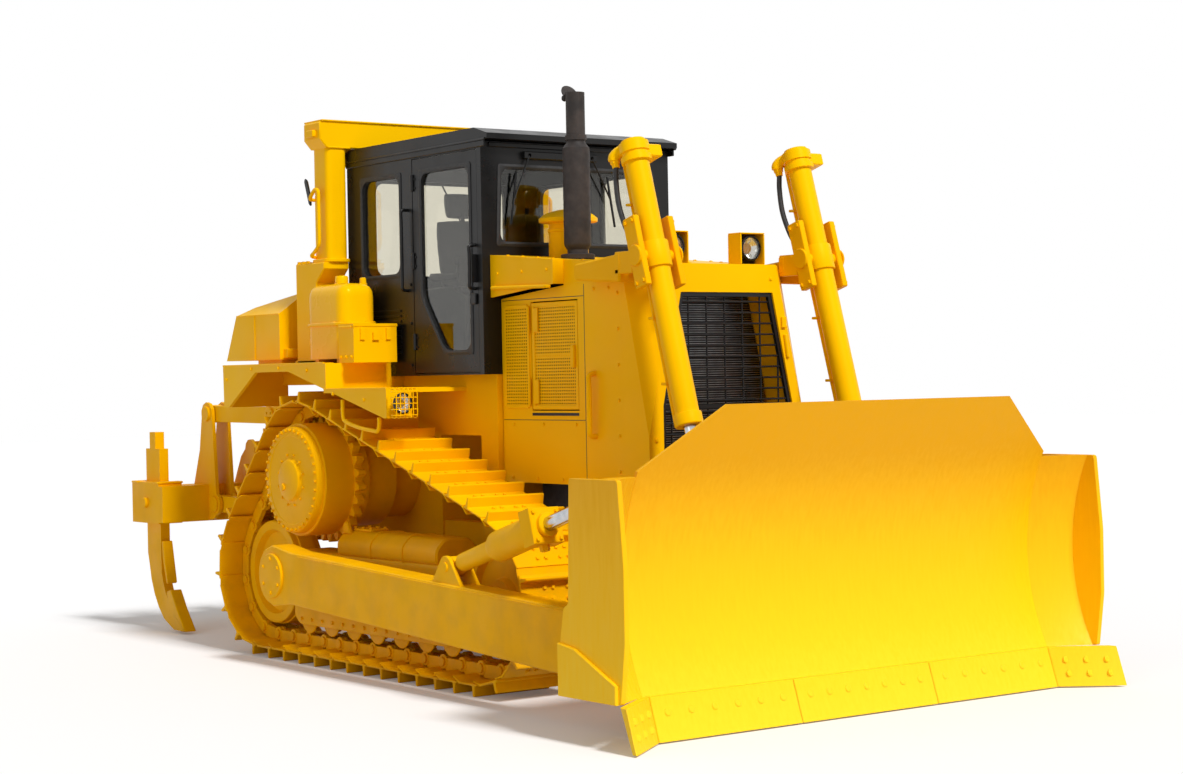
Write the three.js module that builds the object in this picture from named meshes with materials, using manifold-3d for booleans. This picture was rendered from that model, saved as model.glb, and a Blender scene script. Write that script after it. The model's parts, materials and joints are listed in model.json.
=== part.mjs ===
// A track-type bulldozer with a semi-U blade, an enclosed cab and a three-shank ripper.
// Millimetres, +Z up. The machine faces -Y and +X is its left side. Shapes are drawn with Y = 0 on
// the sprocket's axle, and the whole group is then moved so that its box is centred on the origin.

import * as THREE from "three";
import { ConvexGeometry } from "three/addons/geometries/ConvexGeometry.js";
import { mergeVertices } from "three/addons/utils/BufferGeometryUtils.js";
import Module from "manifold-3d";

const wasm = await Module();
wasm.setup();

// ---------------------------------------------------------------- driving dimensions
const FIT = 0.3; // gap kept between pieces that touch
const ORIGIN_Y = 800; // from the sprocket's axle back to the middle of the machine's length
const SIDES = [["right", -1], ["left", 1]];

const TRACK = { centre: 990, width: 560, shoes: 41, shoeIn: 65, shoeOut: 80, grouser: 145, chainIn: 50 };
const SPROCKET = { y: 0, z: 1256, pitchRadius: 468 };
const REAR_IDLER = { y: 650, z: 580, pitchRadius: 435 };
const FRONT_IDLER = { y: -2220, z: 580, pitchRadius: 435 };
const IDLER_RADIUS = 368;
const SPROCKET_RADIUS = 440; // to the tips of its teeth
const ROLLER = { radius: 100, first: 130, last: -1690, count: 7 };

const FRAME_HALF = 420; // outside of the main rails
const BASE_HALF = 660; // half width of the cab's base
const RAIL_TOP = 960;
const CAB = { half: 760, front: -1600, rear: 90, floor: 1950, eaves: 3440, roof: 3530, wall: 45 };
const DOOR = { rear: -770, front: -1545, low: 1966, high: 3390, thick: 38 };
const HOOD = { half: 620, wide: 700, front: -2880, step: -2290, rear: -1601, frontTop: 2597, rearTop: 2712 };
const HOOD_SKIN = 15;
const ENGINE_DOOR = { front: -2425, rear: -1935, low: 1722, high: 2393, gap: 7 };
const GUARD = { front: -3120, low: 1040, top: 2588, topHalf: 390, shoulder: 1552, lowHalf: 615 };
const STACK = { place: [-390, -2130], mufflerTop: 3325, pipeTop: 3676, pipe: 60 };
const PRECLEANER = { place: [-245, -1830], body: 130, cap: 190, neck: 2912 };
const ROPS = {
  postFront: 40, postRear: 250, inner: 785, outer: 945, beamLow: 3540, beamTop: 3730, beamHalf: 1000,
  pedestal: { front: 153, rear: 445, outer: 985, top: 2750 },
};
const FENDER = {
  inner: BASE_HALF + FIT, outer: 1270, deck: 2045, step: 1870, back: 1030, riser: -430, nose: -1230,
};

const TRUNNION = { y: -50, z: 620, radius: 75 }; // the push arms swing about this axis
const ARM = { inner: 1310, outer: 1480 };
const ARM_MIDDLE = (ARM.inner + ARM.outer) / 2;
const BLADE = {
  half: 1544, tip: 1816, back: -3871, wingTop: 1393, faceRadius: 1265, faceY: -5340, faceZ: 832, skin: 24,
};
const EDGE_TOP = 240; // the cutting edge is bolted on below this height
const WING_SLOPE = Math.tan(THREE.MathUtils.degToRad(31));

const LIFT = {
  x: 636, pivot: [-3240, 2620], eye: [-3820, 620], barrel: 72, bore: 52, rod: 35, gland: 1030, top: 650,
};
const TILT = { rear: [-2200, 800], front: [-3900, 1310] };

const RIPPER = { link: 620, lowerPin: [1290, 970], upperPin: [1400, 1675], reach: [1050, 10], eye: 70 };
const RIPPER_BEAM = {
  half: 1100, front: 2430, back: 2740, low: 850, top: 1130, pocketBack: 2974, spacing: 1000,
};
const RIPPER_LIFT = { x: 300, base: [1230, 900], eye: [2350, 1400], barrel: 60, rod: 32, gland: 760 };
const SHANK = { half: 38, front: 2600, back: 2840, top: 1550 };

// ---------------------------------------------------------------- shape helpers
function solidFrom(geometry) {
  geometry.deleteAttribute("normal");
  geometry.deleteAttribute("uv");
  const merged = mergeVertices(geometry, 1e-3);
  const mesh = new wasm.Mesh({
    numProp: 3,
    vertProperties: new Float32Array(merged.attributes.position.array),
    triVerts: new Uint32Array(merged.index.array),
  });
  return new wasm.Manifold(mesh);
}

const join = (...solids) => solids.flat().reduce((whole, next) => whole.add(next));
const cut = (solid, ...tools) => tools.flat().reduce((whole, tool) => whole.subtract(tool), solid);
const both = (build) => [-1, 1].map(build);

function box([x0, x1], [y0, y1], [z0, z1]) {
  const geometry = new THREE.BoxGeometry(Math.abs(x1 - x0), Math.abs(y1 - y0), Math.abs(z1 - z0));
  geometry.translate((x0 + x1) / 2, (y0 + y1) / 2, (z0 + z1) / 2);
  return solidFrom(geometry);
}

const axes = { x: new THREE.Vector3(1, 0, 0), y: new THREE.Vector3(0, 1, 0), z: new THREE.Vector3(0, 0, 1) };
const CARRY = {
  x: new THREE.Matrix4().makeBasis(axes.y, axes.z, axes.x),
  y: new THREE.Matrix4().makeBasis(axes.x, axes.z, axes.y.clone().negate()),
  z: new THREE.Matrix4().makeBasis(axes.x, axes.y, axes.z),
};

// A flat outline carried straight along an axis: (y, z) along x, (x, z) along y, or (x, y) along z.
function prism(axis, outline, from, to, warp = null) {
  const shape = new THREE.Shape(outline.map(([a, b]) => new THREE.Vector2(a, b)));
  const low = Math.min(from, to);
  const high = Math.max(from, to);
  const geometry = new THREE.ExtrudeGeometry(shape, { depth: high - low, bevelEnabled: false });
  geometry.translate(0, 0, axis === "y" ? -high : low);
  geometry.applyMatrix4(CARRY[axis]);
  if (warp) geometry.applyMatrix4(warp);
  return solidFrom(geometry);
}

function arc(centreA, centreB, radius, startDegrees, endDegrees, steps) {
  return Array.from({ length: steps + 1 }, (_, i) => {
    const angle = THREE.MathUtils.degToRad(startDegrees + ((endDegrees - startDegrees) * i) / steps);
    return [centreA + radius * Math.cos(angle), centreB + radius * Math.sin(angle)];
  });
}

// A round bar between two points, tapered when its end has another radius.
function rod(start, end, radius, sides = 12, endRadius = radius) {
  const from = new THREE.Vector3(...start);
  const to = new THREE.Vector3(...end);
  const geometry = new THREE.CylinderGeometry(endRadius, radius, from.distanceTo(to), sides);
  const heading = to.clone().sub(from).normalize();
  geometry.applyQuaternion(new THREE.Quaternion().setFromUnitVectors(axes.y, heading));
  const middle = from.add(to).multiplyScalar(0.5);
  geometry.translate(middle.x, middle.y, middle.z);
  return solidFrom(geometry);
}

const cross = ([y, z], x0, x1, radius, sides = 12) => rod([x0, y, z], [x1, y, z], radius, sides);
const post = (x, y, z0, z1, radius, sides = 12, endRadius = radius) =>
  rod([x, y, z0], [x, y, z1], radius, sides, endRadius);

// A profile of [distance along x, radius] turned about the line y, z.
function turned(profile, y, z, side, sides = 24) {
  const points = profile.map(([along, radius]) => new THREE.Vector2(radius, along));
  const geometry = new THREE.LatheGeometry(points, sides);
  geometry.rotateZ(-side * Math.PI / 2);
  geometry.translate(0, y, z);
  return solidFrom(geometry);
}

// A skin over matching sections, each a ring of points that runs clockwise as seen from the first end.
function loft(sections) {
  const count = sections[0].length;
  const triangles = [];
  sections.slice(1).forEach((next, i) => {
    for (let k = 0; k < count; k += 1) {
      const [a, b] = [i * count + k, i * count + ((k + 1) % count)];
      triangles.push(a, a + count, b, b, a + count, b + count);
    }
  });
  const last = (sections.length - 1) * count;
  for (let k = 1; k < count - 1; k += 1) triangles.push(0, k, k + 1, last, last + k + 1, last + k);
  const geometry = new THREE.BufferGeometry();
  geometry.setAttribute("position", new THREE.Float32BufferAttribute(sections.flat(2), 3));
  geometry.setIndex(triangles);
  return solidFrom(geometry);
}

function hose(points, radius, steps) {
  const section = new THREE.Shape(arc(0, 0, radius, 0, 315, 7).map(([a, b]) => new THREE.Vector2(a, b)));
  const path = new THREE.CatmullRomCurve3(points.map((p) => new THREE.Vector3(...p)));
  return solidFrom(new THREE.ExtrudeGeometry(section, { steps, bevelEnabled: false, extrudePath: path }));
}

// A line in the (y, z) plane with stations along it and offsets to its rear side.
function slant([y0, z0], [y1, z1]) {
  const length = Math.hypot(y1 - y0, z1 - z0);
  const along = [(y1 - y0) / length, (z1 - z0) / length];
  const at = (station, offset = 0) => [
    y0 + along[0] * station - along[1] * offset,
    z0 + along[1] * station + along[0] * offset,
  ];
  const bar = (x, from, to, radius, sides = 12) => rod([x, ...at(from)], [x, ...at(to)], radius, sides);
  return { length, at, bar };
}

// ---------------------------------------------------------------- scene graph
const machine = new THREE.Group();
machine.position.y = ORIGIN_Y;

const PAINT = { color: 0xf2b100, roughness: 0.45, metalness: 0.05 };
const BLACK = { color: 0x1b1c1e, roughness: 0.5, metalness: 0.05 };
const STEEL = { color: 0x8b8d90, roughness: 0.3, metalness: 0.9 };
const GLASS = { color: 0x9fb2b5, roughness: 0.05, metalness: 0, transparent: true, opacity: 0.35 };
const CLOTH = { color: 0x2a2b2d, roughness: 0.9, metalness: 0 };

function add(name, solid, finish = PAINT) {
  const { vertProperties, triVerts } = solid.getMesh();
  const geometry = new THREE.BufferGeometry();
  geometry.setAttribute("position", new THREE.BufferAttribute(new Float32Array(vertProperties), 3));
  geometry.setIndex(new THREE.BufferAttribute(new Uint32Array(triVerts), 1));
  const mesh = new THREE.Mesh(geometry, new THREE.MeshStandardMaterial({ ...finish, flatShading: true }));
  mesh.name = name;
  machine.add(mesh);
}

// ---------------------------------------------------------------- tracks
// The pin line runs round the wheels, anticlockwise as seen from +X, and is cut into equal links.
function pinLine(wheels, count) {
  const stretches = [];
  const headings = wheels.map((wheel, i) => {
    const next = wheels[(i + 1) % wheels.length];
    const span = Math.hypot(next.y - wheel.y, next.z - wheel.z);
    const travel = Math.atan2(next.z - wheel.z, next.y - wheel.y);
    return travel - Math.acos((wheel.pitchRadius - next.pitchRadius) / span);
  });
  wheels.forEach((wheel, i) => {
    const next = wheels[(i + 1) % wheels.length];
    const out = headings[i];
    const touch = (w) => [w.y + w.pitchRadius * Math.cos(out), w.z + w.pitchRadius * Math.sin(out)];
    const [from, to] = [touch(wheel), touch(next)];
    const length = Math.hypot(to[0] - from[0], to[1] - from[1]);
    const run = (t, k) => from[k] + (to[k] - from[k]) * t;
    stretches.push({ length, at: (t) => [run(t, 0), run(t, 1)] });
    const turn = (headings[(i + 1) % wheels.length] - out + 2 * Math.PI) % (2 * Math.PI);
    stretches.push({
      length: turn * next.pitchRadius,
      at: (t) => [
        next.y + next.pitchRadius * Math.cos(out + turn * t),
        next.z + next.pitchRadius * Math.sin(out + turn * t),
      ],
    });
  });
  const total = stretches.reduce((sum, { length }) => sum + length, 0);
  return Array.from({ length: count }, (_, i) => {
    let left = (total * i) / count;
    for (const stretch of stretches) {
      if (left <= stretch.length) return stretch.at(left / stretch.length);
      left -= stretch.length;
    }
    return stretches[0].at(0);
  });
}

const pins = pinLine([FRONT_IDLER, REAR_IDLER, SPROCKET], TRACK.shoes);

// Points beside each link: stations along it from its first pin, and heights outward from its pins.
function besideLinks(stations) {
  return pins.flatMap((first, i) => {
    const second = pins[(i + 1) % pins.length];
    const length = Math.hypot(second[0] - first[0], second[1] - first[1]);
    const along = [(second[0] - first[0]) / length, (second[1] - first[1]) / length];
    return stations(length).map(([s, h]) => [
      first[0] + along[0] * s + along[1] * h,
      first[1] + along[1] * s - along[0] * h,
    ]);
  });
}

function insideLinks(depth) {
  return pins.map((pin, i) => {
    const before = pins[(i + pins.length - 1) % pins.length];
    const after = pins[(i + 1) % pins.length];
    const chord = [after[0] - before[0], after[1] - before[1]];
    const length = Math.hypot(...chord);
    return [pin[0] - (chord[1] / length) * depth, pin[1] + (chord[0] / length) * depth];
  });
}

function track(side) {
  const shoeEdge = besideLinks((length) => [
    [2, TRACK.shoeOut], [27, TRACK.shoeOut], [33, TRACK.grouser], [49, TRACK.grouser],
    [55, TRACK.shoeOut], [length - 2, TRACK.shoeOut],
  ]);
  const shoeBack = besideLinks((length) => [[0, TRACK.shoeIn], [length, TRACK.shoeIn]]);
  const railOut = besideLinks((length) => [[0, TRACK.shoeIn + 1], [length, TRACK.shoeIn + 1]]);
  const railIn = insideLinks(TRACK.chainIn);
  const inner = side * (TRACK.centre - TRACK.width / 2);
  const outer = side * (TRACK.centre + TRACK.width / 2);
  const past = side * 9;
  const shoes = cut(prism("x", shoeEdge, inner, outer), prism("x", shoeBack, inner - past, outer + past));
  const rails = [-1, 1].map((s) => {
    const from = side * TRACK.centre + s * 58;
    const to = side * TRACK.centre + s * 104;
    return cut(prism("x", railOut, from, to), prism("x", railIn, from - 60, to + 60));
  });
  return join(shoes, rails);
}

function wheelDisc(wheel, side, radius) {
  const x = side * TRACK.centre;
  return join(
    cross([wheel.y, wheel.z], x - 105, x + 105, radius, 24),
    cross([wheel.y, wheel.z], x - 145, x + 145, 60),
  );
}

function rollerFrame(side) {
  const x = side * TRACK.centre;
  const girder = box([x - 160, x + 160], [-1700, 250], [430, 760]);
  const springHousing = prism("y", [
    [x - 160, 750], [x + 160, 750], [x + 160, 850], [x + 90, 920], [x - 90, 920], [x - 160, 850],
  ], -1600, -350);
  const cheeks = both((s) => box([x + s * 140, x + s * 160], [-1780, 250], [250, 440]));
  const yokes = both((s) => [
    box([x + s * 120, x + s * 145], [FRONT_IDLER.y - 60, -1650], [510, 650]),
    box([x + s * 120, x + s * 145], [200, REAR_IDLER.y + 60], [510, 650]),
  ]).flat();
  const spacing = (ROLLER.last - ROLLER.first) / (ROLLER.count - 1);
  const rollers = Array.from({ length: ROLLER.count }, (_, i) => {
    const centre = [ROLLER.first + spacing * i, 195 + ROLLER.radius + FIT];
    return cross(centre, x - 145, x + 145, ROLLER.radius, 10);
  });
  const trunnion = [
    cross([TRUNNION.y, TRUNNION.z], side * 1140, side * 1295, 125, 24),
    cross([TRUNNION.y, TRUNNION.z], side * 1140, side * 1445, TRUNNION.radius, 24),
  ];
  return join(girder, springHousing, cheeks, yokes, rollers, trunnion,
    wheelDisc(FRONT_IDLER, side, IDLER_RADIUS), wheelDisc(REAR_IDLER, side, IDLER_RADIUS));
}

// The planetary drum, with the sprocket ring between the two link rails.
function finalDrive(side) {
  const drum = turned([
    [FRAME_HALF + 15 + FIT, 0], [FRAME_HALF + 15 + FIT, 290], [660, 290], [660, 340], [900, 340], [900, 385],
    [1240, 385], [1240, 362], [1296, 352], [1300, 330], [1300, 140], [1325, 125], [1325, 0],
  ], SPROCKET.y, SPROCKET.z, side);
  return join(drum, cross([SPROCKET.y, SPROCKET.z], side * 958, side * 1022, SPROCKET_RADIUS, 24));
}

for (const [name, side] of SIDES) {
  add(`track_${name}`, track(side));
  add(`roller_frame_${name}`, rollerFrame(side));
  add(`final_drive_${name}`, finalDrive(side));
}

// ---------------------------------------------------------------- main frame and engine
function mainFrame() {
  return join(
    box([-FRAME_HALF - 15, FRAME_HALF + 15], [-560, 700], [640, 1560]),
    both((s) => box([s * 300, s * FRAME_HALF], [-2990, -500], [700, RAIL_TOP])),
    box([-FRAME_HALF, FRAME_HALF], [-3000, HOOD.front], [640, GUARD.low]),
    box([-310, 310], [-2900, -540], [640, 670]),
    box([-310, 310], [-2900, -2820], [640, 800]),
    box([-829.7, 829.7], [-2060, -1940], [560, 705]),
    cross([TRUNNION.y, 560], -829.7, 829.7, 90),
    box([-BASE_HALF, BASE_HALF], [-1595, 570], [1555, CAB.floor - FIT]),
    box([-BASE_HALF, BASE_HALF], [-1595, -1400], [900, 1570]),
  );
}

const HOOD_SLOPE = (HOOD.rearTop - HOOD.frontTop) / (HOOD.rear - HOOD.front);
const hoodTop = (y) => HOOD.rearTop + (y - HOOD.rear) * HOOD_SLOPE;

// A thin cover with a sloping top, wide beside the cab and narrower ahead of its step.
function hood() {
  const { half, wide, front, step, rear } = HOOD;
  const cover = (skin, past, floor) => {
    const outline = [
      [front - past, floor], [step, floor], [rear + past, floor - 60],
      [rear + past, hoodTop(rear + past) - skin], [front - past, hoodTop(front - past) - skin],
    ];
    const plan = [
      [wide - skin, rear + 2 * past], [wide - skin, step + skin],
      [half - skin, step + skin], [half - skin, front - 2 * past],
    ];
    const rim = [...plan, ...plan.map(([x, y]) => [-x, y]).reverse()];
    return prism("x", outline, -900, 900).intersect(prism("z", rim, 2000, 3000));
  };
  return cut(cover(0, 0, 2500), cover(HOOD_SKIN, 20, 2300));
}

function sidePanel(side) {
  const [inner, outer] = [side * 600, side * HOOD.half];
  const sheet = prism("x", [
    [HOOD.front, 1260], [CAB.front - 1, 1260], [CAB.front - 1, 2430], [HOOD.step, 2490],
    [HOOD.step, 2499.7], [HOOD.front, 2499.7],
  ], inner, outer);
  const { gap } = ENGINE_DOOR;
  return cut(sheet, box([inner - side * 9, outer + side * 9],
    [ENGINE_DOOR.front - gap, ENGINE_DOOR.rear + gap], [ENGINE_DOOR.low - gap, ENGINE_DOOR.high + gap]));
}

function engineDoor(side) {
  return join(
    box([side * 602, side * 618], [ENGINE_DOOR.front, ENGINE_DOOR.rear], [ENGINE_DOOR.low, ENGINE_DOOR.high]),
    box([side * 617, side * 640], [ENGINE_DOOR.front + 25, ENGINE_DOOR.front + 45], [1980, 2120]),
  );
}

function radiatorGuard() {
  const ring = [[GUARD.lowHalf, GUARD.low], [GUARD.lowHalf, GUARD.shoulder], [GUARD.topHalf, GUARD.top]];
  const front = ring.flatMap(([x, z]) => both((s) => new THREE.Vector3(s * x, GUARD.front, z)));
  const back = [GUARD.low + FIT, GUARD.top].flatMap((z) =>
    both((s) => new THREE.Vector3(s * HOOD.half, HOOD.front - FIT, z)));
  front.forEach((p) => { if (p.z === GUARD.low) p.z += FIT; });
  const body = solidFrom(new ConvexGeometry([...front, ...back]));
  return cut(body, prism("y", grilleOutline(0), GUARD.front - 50, HOOD.front + 50));
}

function grilleOutline(inset) {
  const right = [[358 - inset, 2417 - inset], [505 - inset, 1740], [505 - inset, 1180 + inset]];
  return [...right, ...right.map(([x, z]) => [-x, z]).reverse()];
}

function grille() {
  const rows = 4;
  const columns = 2;
  const [low, high] = [1220, 2380];
  const halfAt = (z) => (z < 1740 ? 480 : 480 - ((z - 1740) / 677) * 147);
  let mesh = prism("y", grilleOutline(1), -3105, -3088);
  for (let row = 0; row < rows; row += 1) {
    const z0 = low + ((high - low) * row) / rows;
    const z1 = z0 + (high - low) / rows - 14;
    const half = halfAt(z1);
    for (let column = 0; column < columns; column += 1) {
      const x0 = -half + (2 * half * column) / columns;
      mesh = mesh.subtract(box([x0, x0 + (2 * half) / columns - 14], [-3120, -3080], [z0, z1]));
    }
  }
  return mesh;
}

// Trims whatever stands on the hood to the hood's slope.
const belowHood = () => prism("x", [
  [-2400, 2300], [-1650, 2300], [-1650, hoodTop(-1650) + FIT], [-2400, hoodTop(-2400) + FIT],
], -600, 600);

function exhaustStack() {
  const [x, y] = STACK.place;
  const capFoot = STACK.pipeTop - 8;
  return cut(join(
    post(x, y, 2600, 2690, 110, 16),
    post(x, y, 2600, STACK.mufflerTop, 86, 16),
    post(x, y, STACK.mufflerTop - 5, STACK.pipeTop, STACK.pipe, 16),
    rod([x - 5, y - 8, capFoot], [x - 5, y + 55, capFoot + 64], STACK.pipe + 2, 16, 30),
  ), belowHood());
}

function precleaner() {
  const { place: [x, y], body, cap, neck } = PRECLEANER;
  return cut(join(
    post(x, y, 2600, neck + 1, body, 16),
    post(x, y, neck, neck + 28, cap, 20),
    post(x, y, neck + 27, neck + 88, cap - 8, 20, 70),
  ), belowHood());
}

function headlamp(side) {
  const [x0, x1] = [side * 204, side * 397];
  return cut(
    box([x0, x1], [-3010, -2890], [GUARD.top + FIT, 2790]),
    box([x0 + side * 14, x1 - side * 14], [-3040, -2975], [2620, 2776]),
  );
}

add("main_frame", mainFrame());
add("engine_block", box([-330, 330], [-2480, -1610], [RAIL_TOP + FIT, 2080]));
add("radiator_core", box([-480, 480], [HOOD.front + 1, -2770], [RAIL_TOP + FIT, 2480]), BLACK);
add("radiator_guard", radiatorGuard());
add("grille", grille(), BLACK);
add("hood_top", hood());
for (const [name, side] of SIDES) {
  add(`side_panel_${name}`, sidePanel(side));
  add(`engine_door_${name}`, engineDoor(side));
  add(`headlamp_${name}`, headlamp(side));
}
add("exhaust_stack", exhaustStack(), { color: 0x2c2422, roughness: 0.8, metalness: 0.3 });
add("precleaner", precleaner());

// ---------------------------------------------------------------- cab
const WINDSHIELD = [[-640, 2780], [640, 2780], [620, 3290], [-620, 3290]];
const REAR_WINDOW = [[-560, 2640], [560, 2640], [560, 3330], [-560, 3330]];
const QUARTER_WINDOW = [[-620, 2620], [-100, 2620], [-100, 3310], [-620, 3310]];
const DOOR_WINDOW = [[-1470, 2090], [-1140, 2090], [-860, 2460], [-860, 3310], [-1470, 3310]];

const shrunk = (outline, by) => {
  const middle = [0, 1].map((k) => {
    const values = outline.map((point) => point[k]);
    return (Math.min(...values) + Math.max(...values)) / 2;
  });
  return outline.map((p) => p.map((value, k) => value - Math.sign(value - middle[k]) * by));
};

function cabShell() {
  const { half, front, rear, floor, eaves, roof, wall } = CAB;
  const body = cut(
    box([-half, half], [front, rear], [floor, eaves + 1]),
    box([wall - half, half - wall], [front + wall, rear - wall], [floor + 40, eaves - 20]),
  );
  const roofSlab = prism("x", [
    [front - 90, eaves + 10], [rear + 5, eaves], [rear + 5, roof - 15], [rear - 60, roof],
    [front + 60, roof], [front - 90, eaves + 45],
  ], -half - 10, half + 10);
  return cut(join(body, roofSlab),
    prism("y", WINDSHIELD, front - 40, front + wall + 40),
    prism("y", REAR_WINDOW, rear - wall - 40, rear + 40),
    both((s) => prism("x", QUARTER_WINDOW, s * (half + 40), s * (half - wall - 40))),
    both((s) => box([s * (half + 20), s * (half - wall - 20)],
      [DOOR.front - 5, DOOR.rear + 5], [DOOR.low - 6, DOOR.high + 5])),
  );
}

function cabDoor(side) {
  const outer = CAB.half - 2;
  const leaf = prism("x", [
    [DOOR.front, DOOR.low], [DOOR.rear, DOOR.low], [DOOR.rear, DOOR.high], [DOOR.front, DOOR.high],
  ], side * (outer - DOOR.thick), side * outer);
  return join(
    cut(leaf, prism("x", DOOR_WINDOW, side * (outer + 20), side * (outer - DOOR.thick - 20))),
    box([side * (outer - 1), side * (outer + 32)], [DOOR.front + 15, DOOR.front + 40], [2540, 2720]),
  );
}

const sideGlass = (outline, side) =>
  prism("x", shrunk(outline, FIT), side * (CAB.half - 24), side * (CAB.half - 18));

function operatorConsole() {
  const deck = CAB.floor + 40 + FIT;
  return join(
    box([-560, 560], [-1540, -60], [deck, deck + 18]),
    both((s) => box([s * 340, s * 500], [-1000, -200], [deck, 2560])),
    box([-330, 330], [-1530, -1380], [deck, 2640]),
    rod([0, -1420, 2600], [0, -1330, 2760], 20, 8),
    box([360, 440], [-960, -900], [2550, 2700]),
  );
}

function operatorSeat() {
  const floor = CAB.floor + 40 + 18 + 2 * FIT;
  return join(
    box([-170, 170], [-800, -330], [floor, 2400]),
    box([-255, 255], [-900, -290], [2390, 2520]),
    prism("x", [[-370, 2500], [-240, 2500], [-150, 3060], [-240, 3060]], -240, 240),
    prism("x", [[-245, 3050], [-150, 3050], [-135, 3240], [-225, 3240]], -130, 130),
  );
}

add("cab_shell", cabShell(), BLACK);
add("windshield", prism("y", shrunk(WINDSHIELD, FIT), CAB.front + 18, CAB.front + 24), GLASS);
add("rear_window", prism("y", shrunk(REAR_WINDOW, FIT), CAB.rear - 24, CAB.rear - 18), GLASS);
add("operator_console", operatorConsole(), BLACK);
add("operator_seat", operatorSeat(), CLOTH);
for (const [name, side] of SIDES) {
  add(`side_window_${name}`, sideGlass(QUARTER_WINDOW, side), GLASS);
  add(`cab_door_${name}`, cabDoor(side), BLACK);
  add(`door_glass_${name}`, sideGlass(DOOR_WINDOW, side), GLASS);
}

// ---------------------------------------------------------------- fenders, tanks and rollover frame
function fender(side) {
  const { inner, outer, deck, step, back, riser, nose } = FENDER;
  const beside = CAB.half + FIT;
  const x = (a, b) => [side * a, side * b];
  const skirt = prism("x", [
    [back, deck], [back - 8, 1750], [950, 1750], [540, 1995], [60, 1995], [-800, 1780], [-1200, 1680],
    [nose, 1680], [nose, step], [riser - 20, step], [riser, deck],
  ], side * (outer - 25), side * outer);
  return join(
    skirt,
    box(x(beside, outer), [riser, back], [deck - 45, deck]),
    box(x(beside, 800), [riser, back], [1900, deck - 5]),
    box(x(inner, 800), [riser, 560], [1900, CAB.floor - 1]),
    box(x(inner, outer), [nose, riser], [step - 25, step]),
    box(x(inner, outer), [riser - 25, riser], [step - 25, CAB.floor - 1]),
    box(x(beside, outer), [riser - 25, riser + 5], [step - 25, deck]),
    box(x(beside, outer), [back - 30, back - 8], [1750, deck]),
    box(x(1080, outer), [nose, nose + 20], [1680, step]),
    box(x(1080, 1100), [nose, -850], [1690, step]),
  );
}

function hydraulicTank() {
  const standing = FENDER.deck + FIT;
  const outline = [
    ...arc(-1000, -290, 90, 180, 270, 6), ...arc(-860, -330, 50, 270, 360, 3),
    ...arc(-830, 110, 20, 0, 90, 2), ...arc(-1050, 90, 40, 90, 180, 3),
  ];
  const collar = outline.map(([x, y]) => [x + Math.sign(x + 940) * 18, y + Math.sign(y + 120) * 18]);
  return join(
    prism("z", outline, standing + 30, 2560),
    prism("z", collar, 2300, 2322),
    prism("z", outline.map(([x, y]) => [(x + 940) * 0.8 - 940, (y + 120) * 0.85 - 120]), 2550, 2586),
    both((s) => box([-1060, -840], [-120 + s * 150 - 25, -120 + s * 150 + 25], [standing, standing + 40])),
    post(-940, -120, 2580, 2650, 45, 12),
  );
}

function lowBox(side, y0, y1, top) {
  const standing = FENDER.deck + FIT;
  return join(
    box([side * 800, side * 1134], [y0, y1], [standing, top - 18]),
    box([side * 796, side * 1138], [y0 - 4, y1 + 0.2], [top - 19, top]),
    box([side * 940, side * 990], [y0 - 16, y0 + 1], [top - 110, top - 60]),
  );
}

function fuelTank() {
  const side = [[1398, 2085], [1235, 2412], [1100, 2470], [644, 2560], [580, 2565], [580, 2085]];
  const front = [[-1050, 2080], [1050, 2080], [1050, 2410], [830, 2565], [-830, 2565], [-1050, 2410]];
  const body = prism("x", side, -1060, 1060).intersect(prism("y", front, 570, 1400));
  const feet = both((s) => box([s * 820, s * 1000], [640, 1000], [FENDER.deck + FIT, 2090]));
  return join(body, feet, post(600, 760, 2480, 2590, 60, 12));
}

// Each post stands on a pedestal behind the tank, and the beam crosses just above the cab's roof.
function ropsFrame() {
  const standing = FENDER.deck + FIT;
  const { postFront, postRear, inner, outer, pedestal, beamLow, beamTop, beamHalf } = ROPS;
  const corner = 25;
  const legs = both((s) => [
    box([s * inner, s * outer], [postFront, postRear], [pedestal.top - 1, beamLow + 10]),
    prism("x", [
      [pedestal.front, standing], [pedestal.rear, standing], [pedestal.rear, pedestal.top],
      [postFront, pedestal.top], [postFront, pedestal.top - 45], [pedestal.front, 2610],
    ], s * inner, s * pedestal.outer),
    box([s * (inner - 5), s * pedestal.outer], [pedestal.front, 470], [standing, standing + 28]),
    prism("y", [[s * (inner + 1), 3360], [s * (inner + 1), beamLow + 5], [s * 700, beamLow + 5]], 105, 130),
  ]).flat();
  const [front, rear] = [postFront - 5, postRear + 15];
  const beam = prism("x", [
    [front, beamLow], [rear, beamLow],
    ...arc(rear - corner, beamTop - corner, corner, 0, 90, 3),
    ...arc(front + corner, beamTop - corner, corner, 90, 180, 3),
  ], -beamHalf, beamHalf);
  const chamfers = both((s) => prism("y", [
    [s * (beamHalf + 10), beamLow - 10], [s * (beamHalf - 60), beamLow - 10],
    [s * (beamHalf + 10), beamLow + 70],
  ], front - 20, rear + 20));
  return join(cut(beam, chamfers), legs);
}

for (const [name, side] of SIDES) add(`fender_${name}`, fender(side));
add("hydraulic_tank", hydraulicTank());
add("tool_box", lowBox(-1, -600, -402, 2305));
add("battery_box", lowBox(1, -600, 120, 2360));
add("fuel_tank", fuelTank());
add("rops_frame", ropsFrame());

// ---------------------------------------------------------------- blade
const faceAt = (z, back = 0) =>
  BLADE.faceY + Math.sqrt((BLADE.faceRadius + back) ** 2 - (z - BLADE.faceZ) ** 2);

function moldboard(top) {
  const steps = 9;
  const heights = Array.from({ length: steps + 1 }, (_, i) => EDGE_TOP + ((top - EDGE_TOP) * i) / steps);
  return [heights.map((z) => [faceAt(z), z]), heights.map((z) => [faceAt(z, BLADE.skin), z]).reverse()];
}

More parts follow.
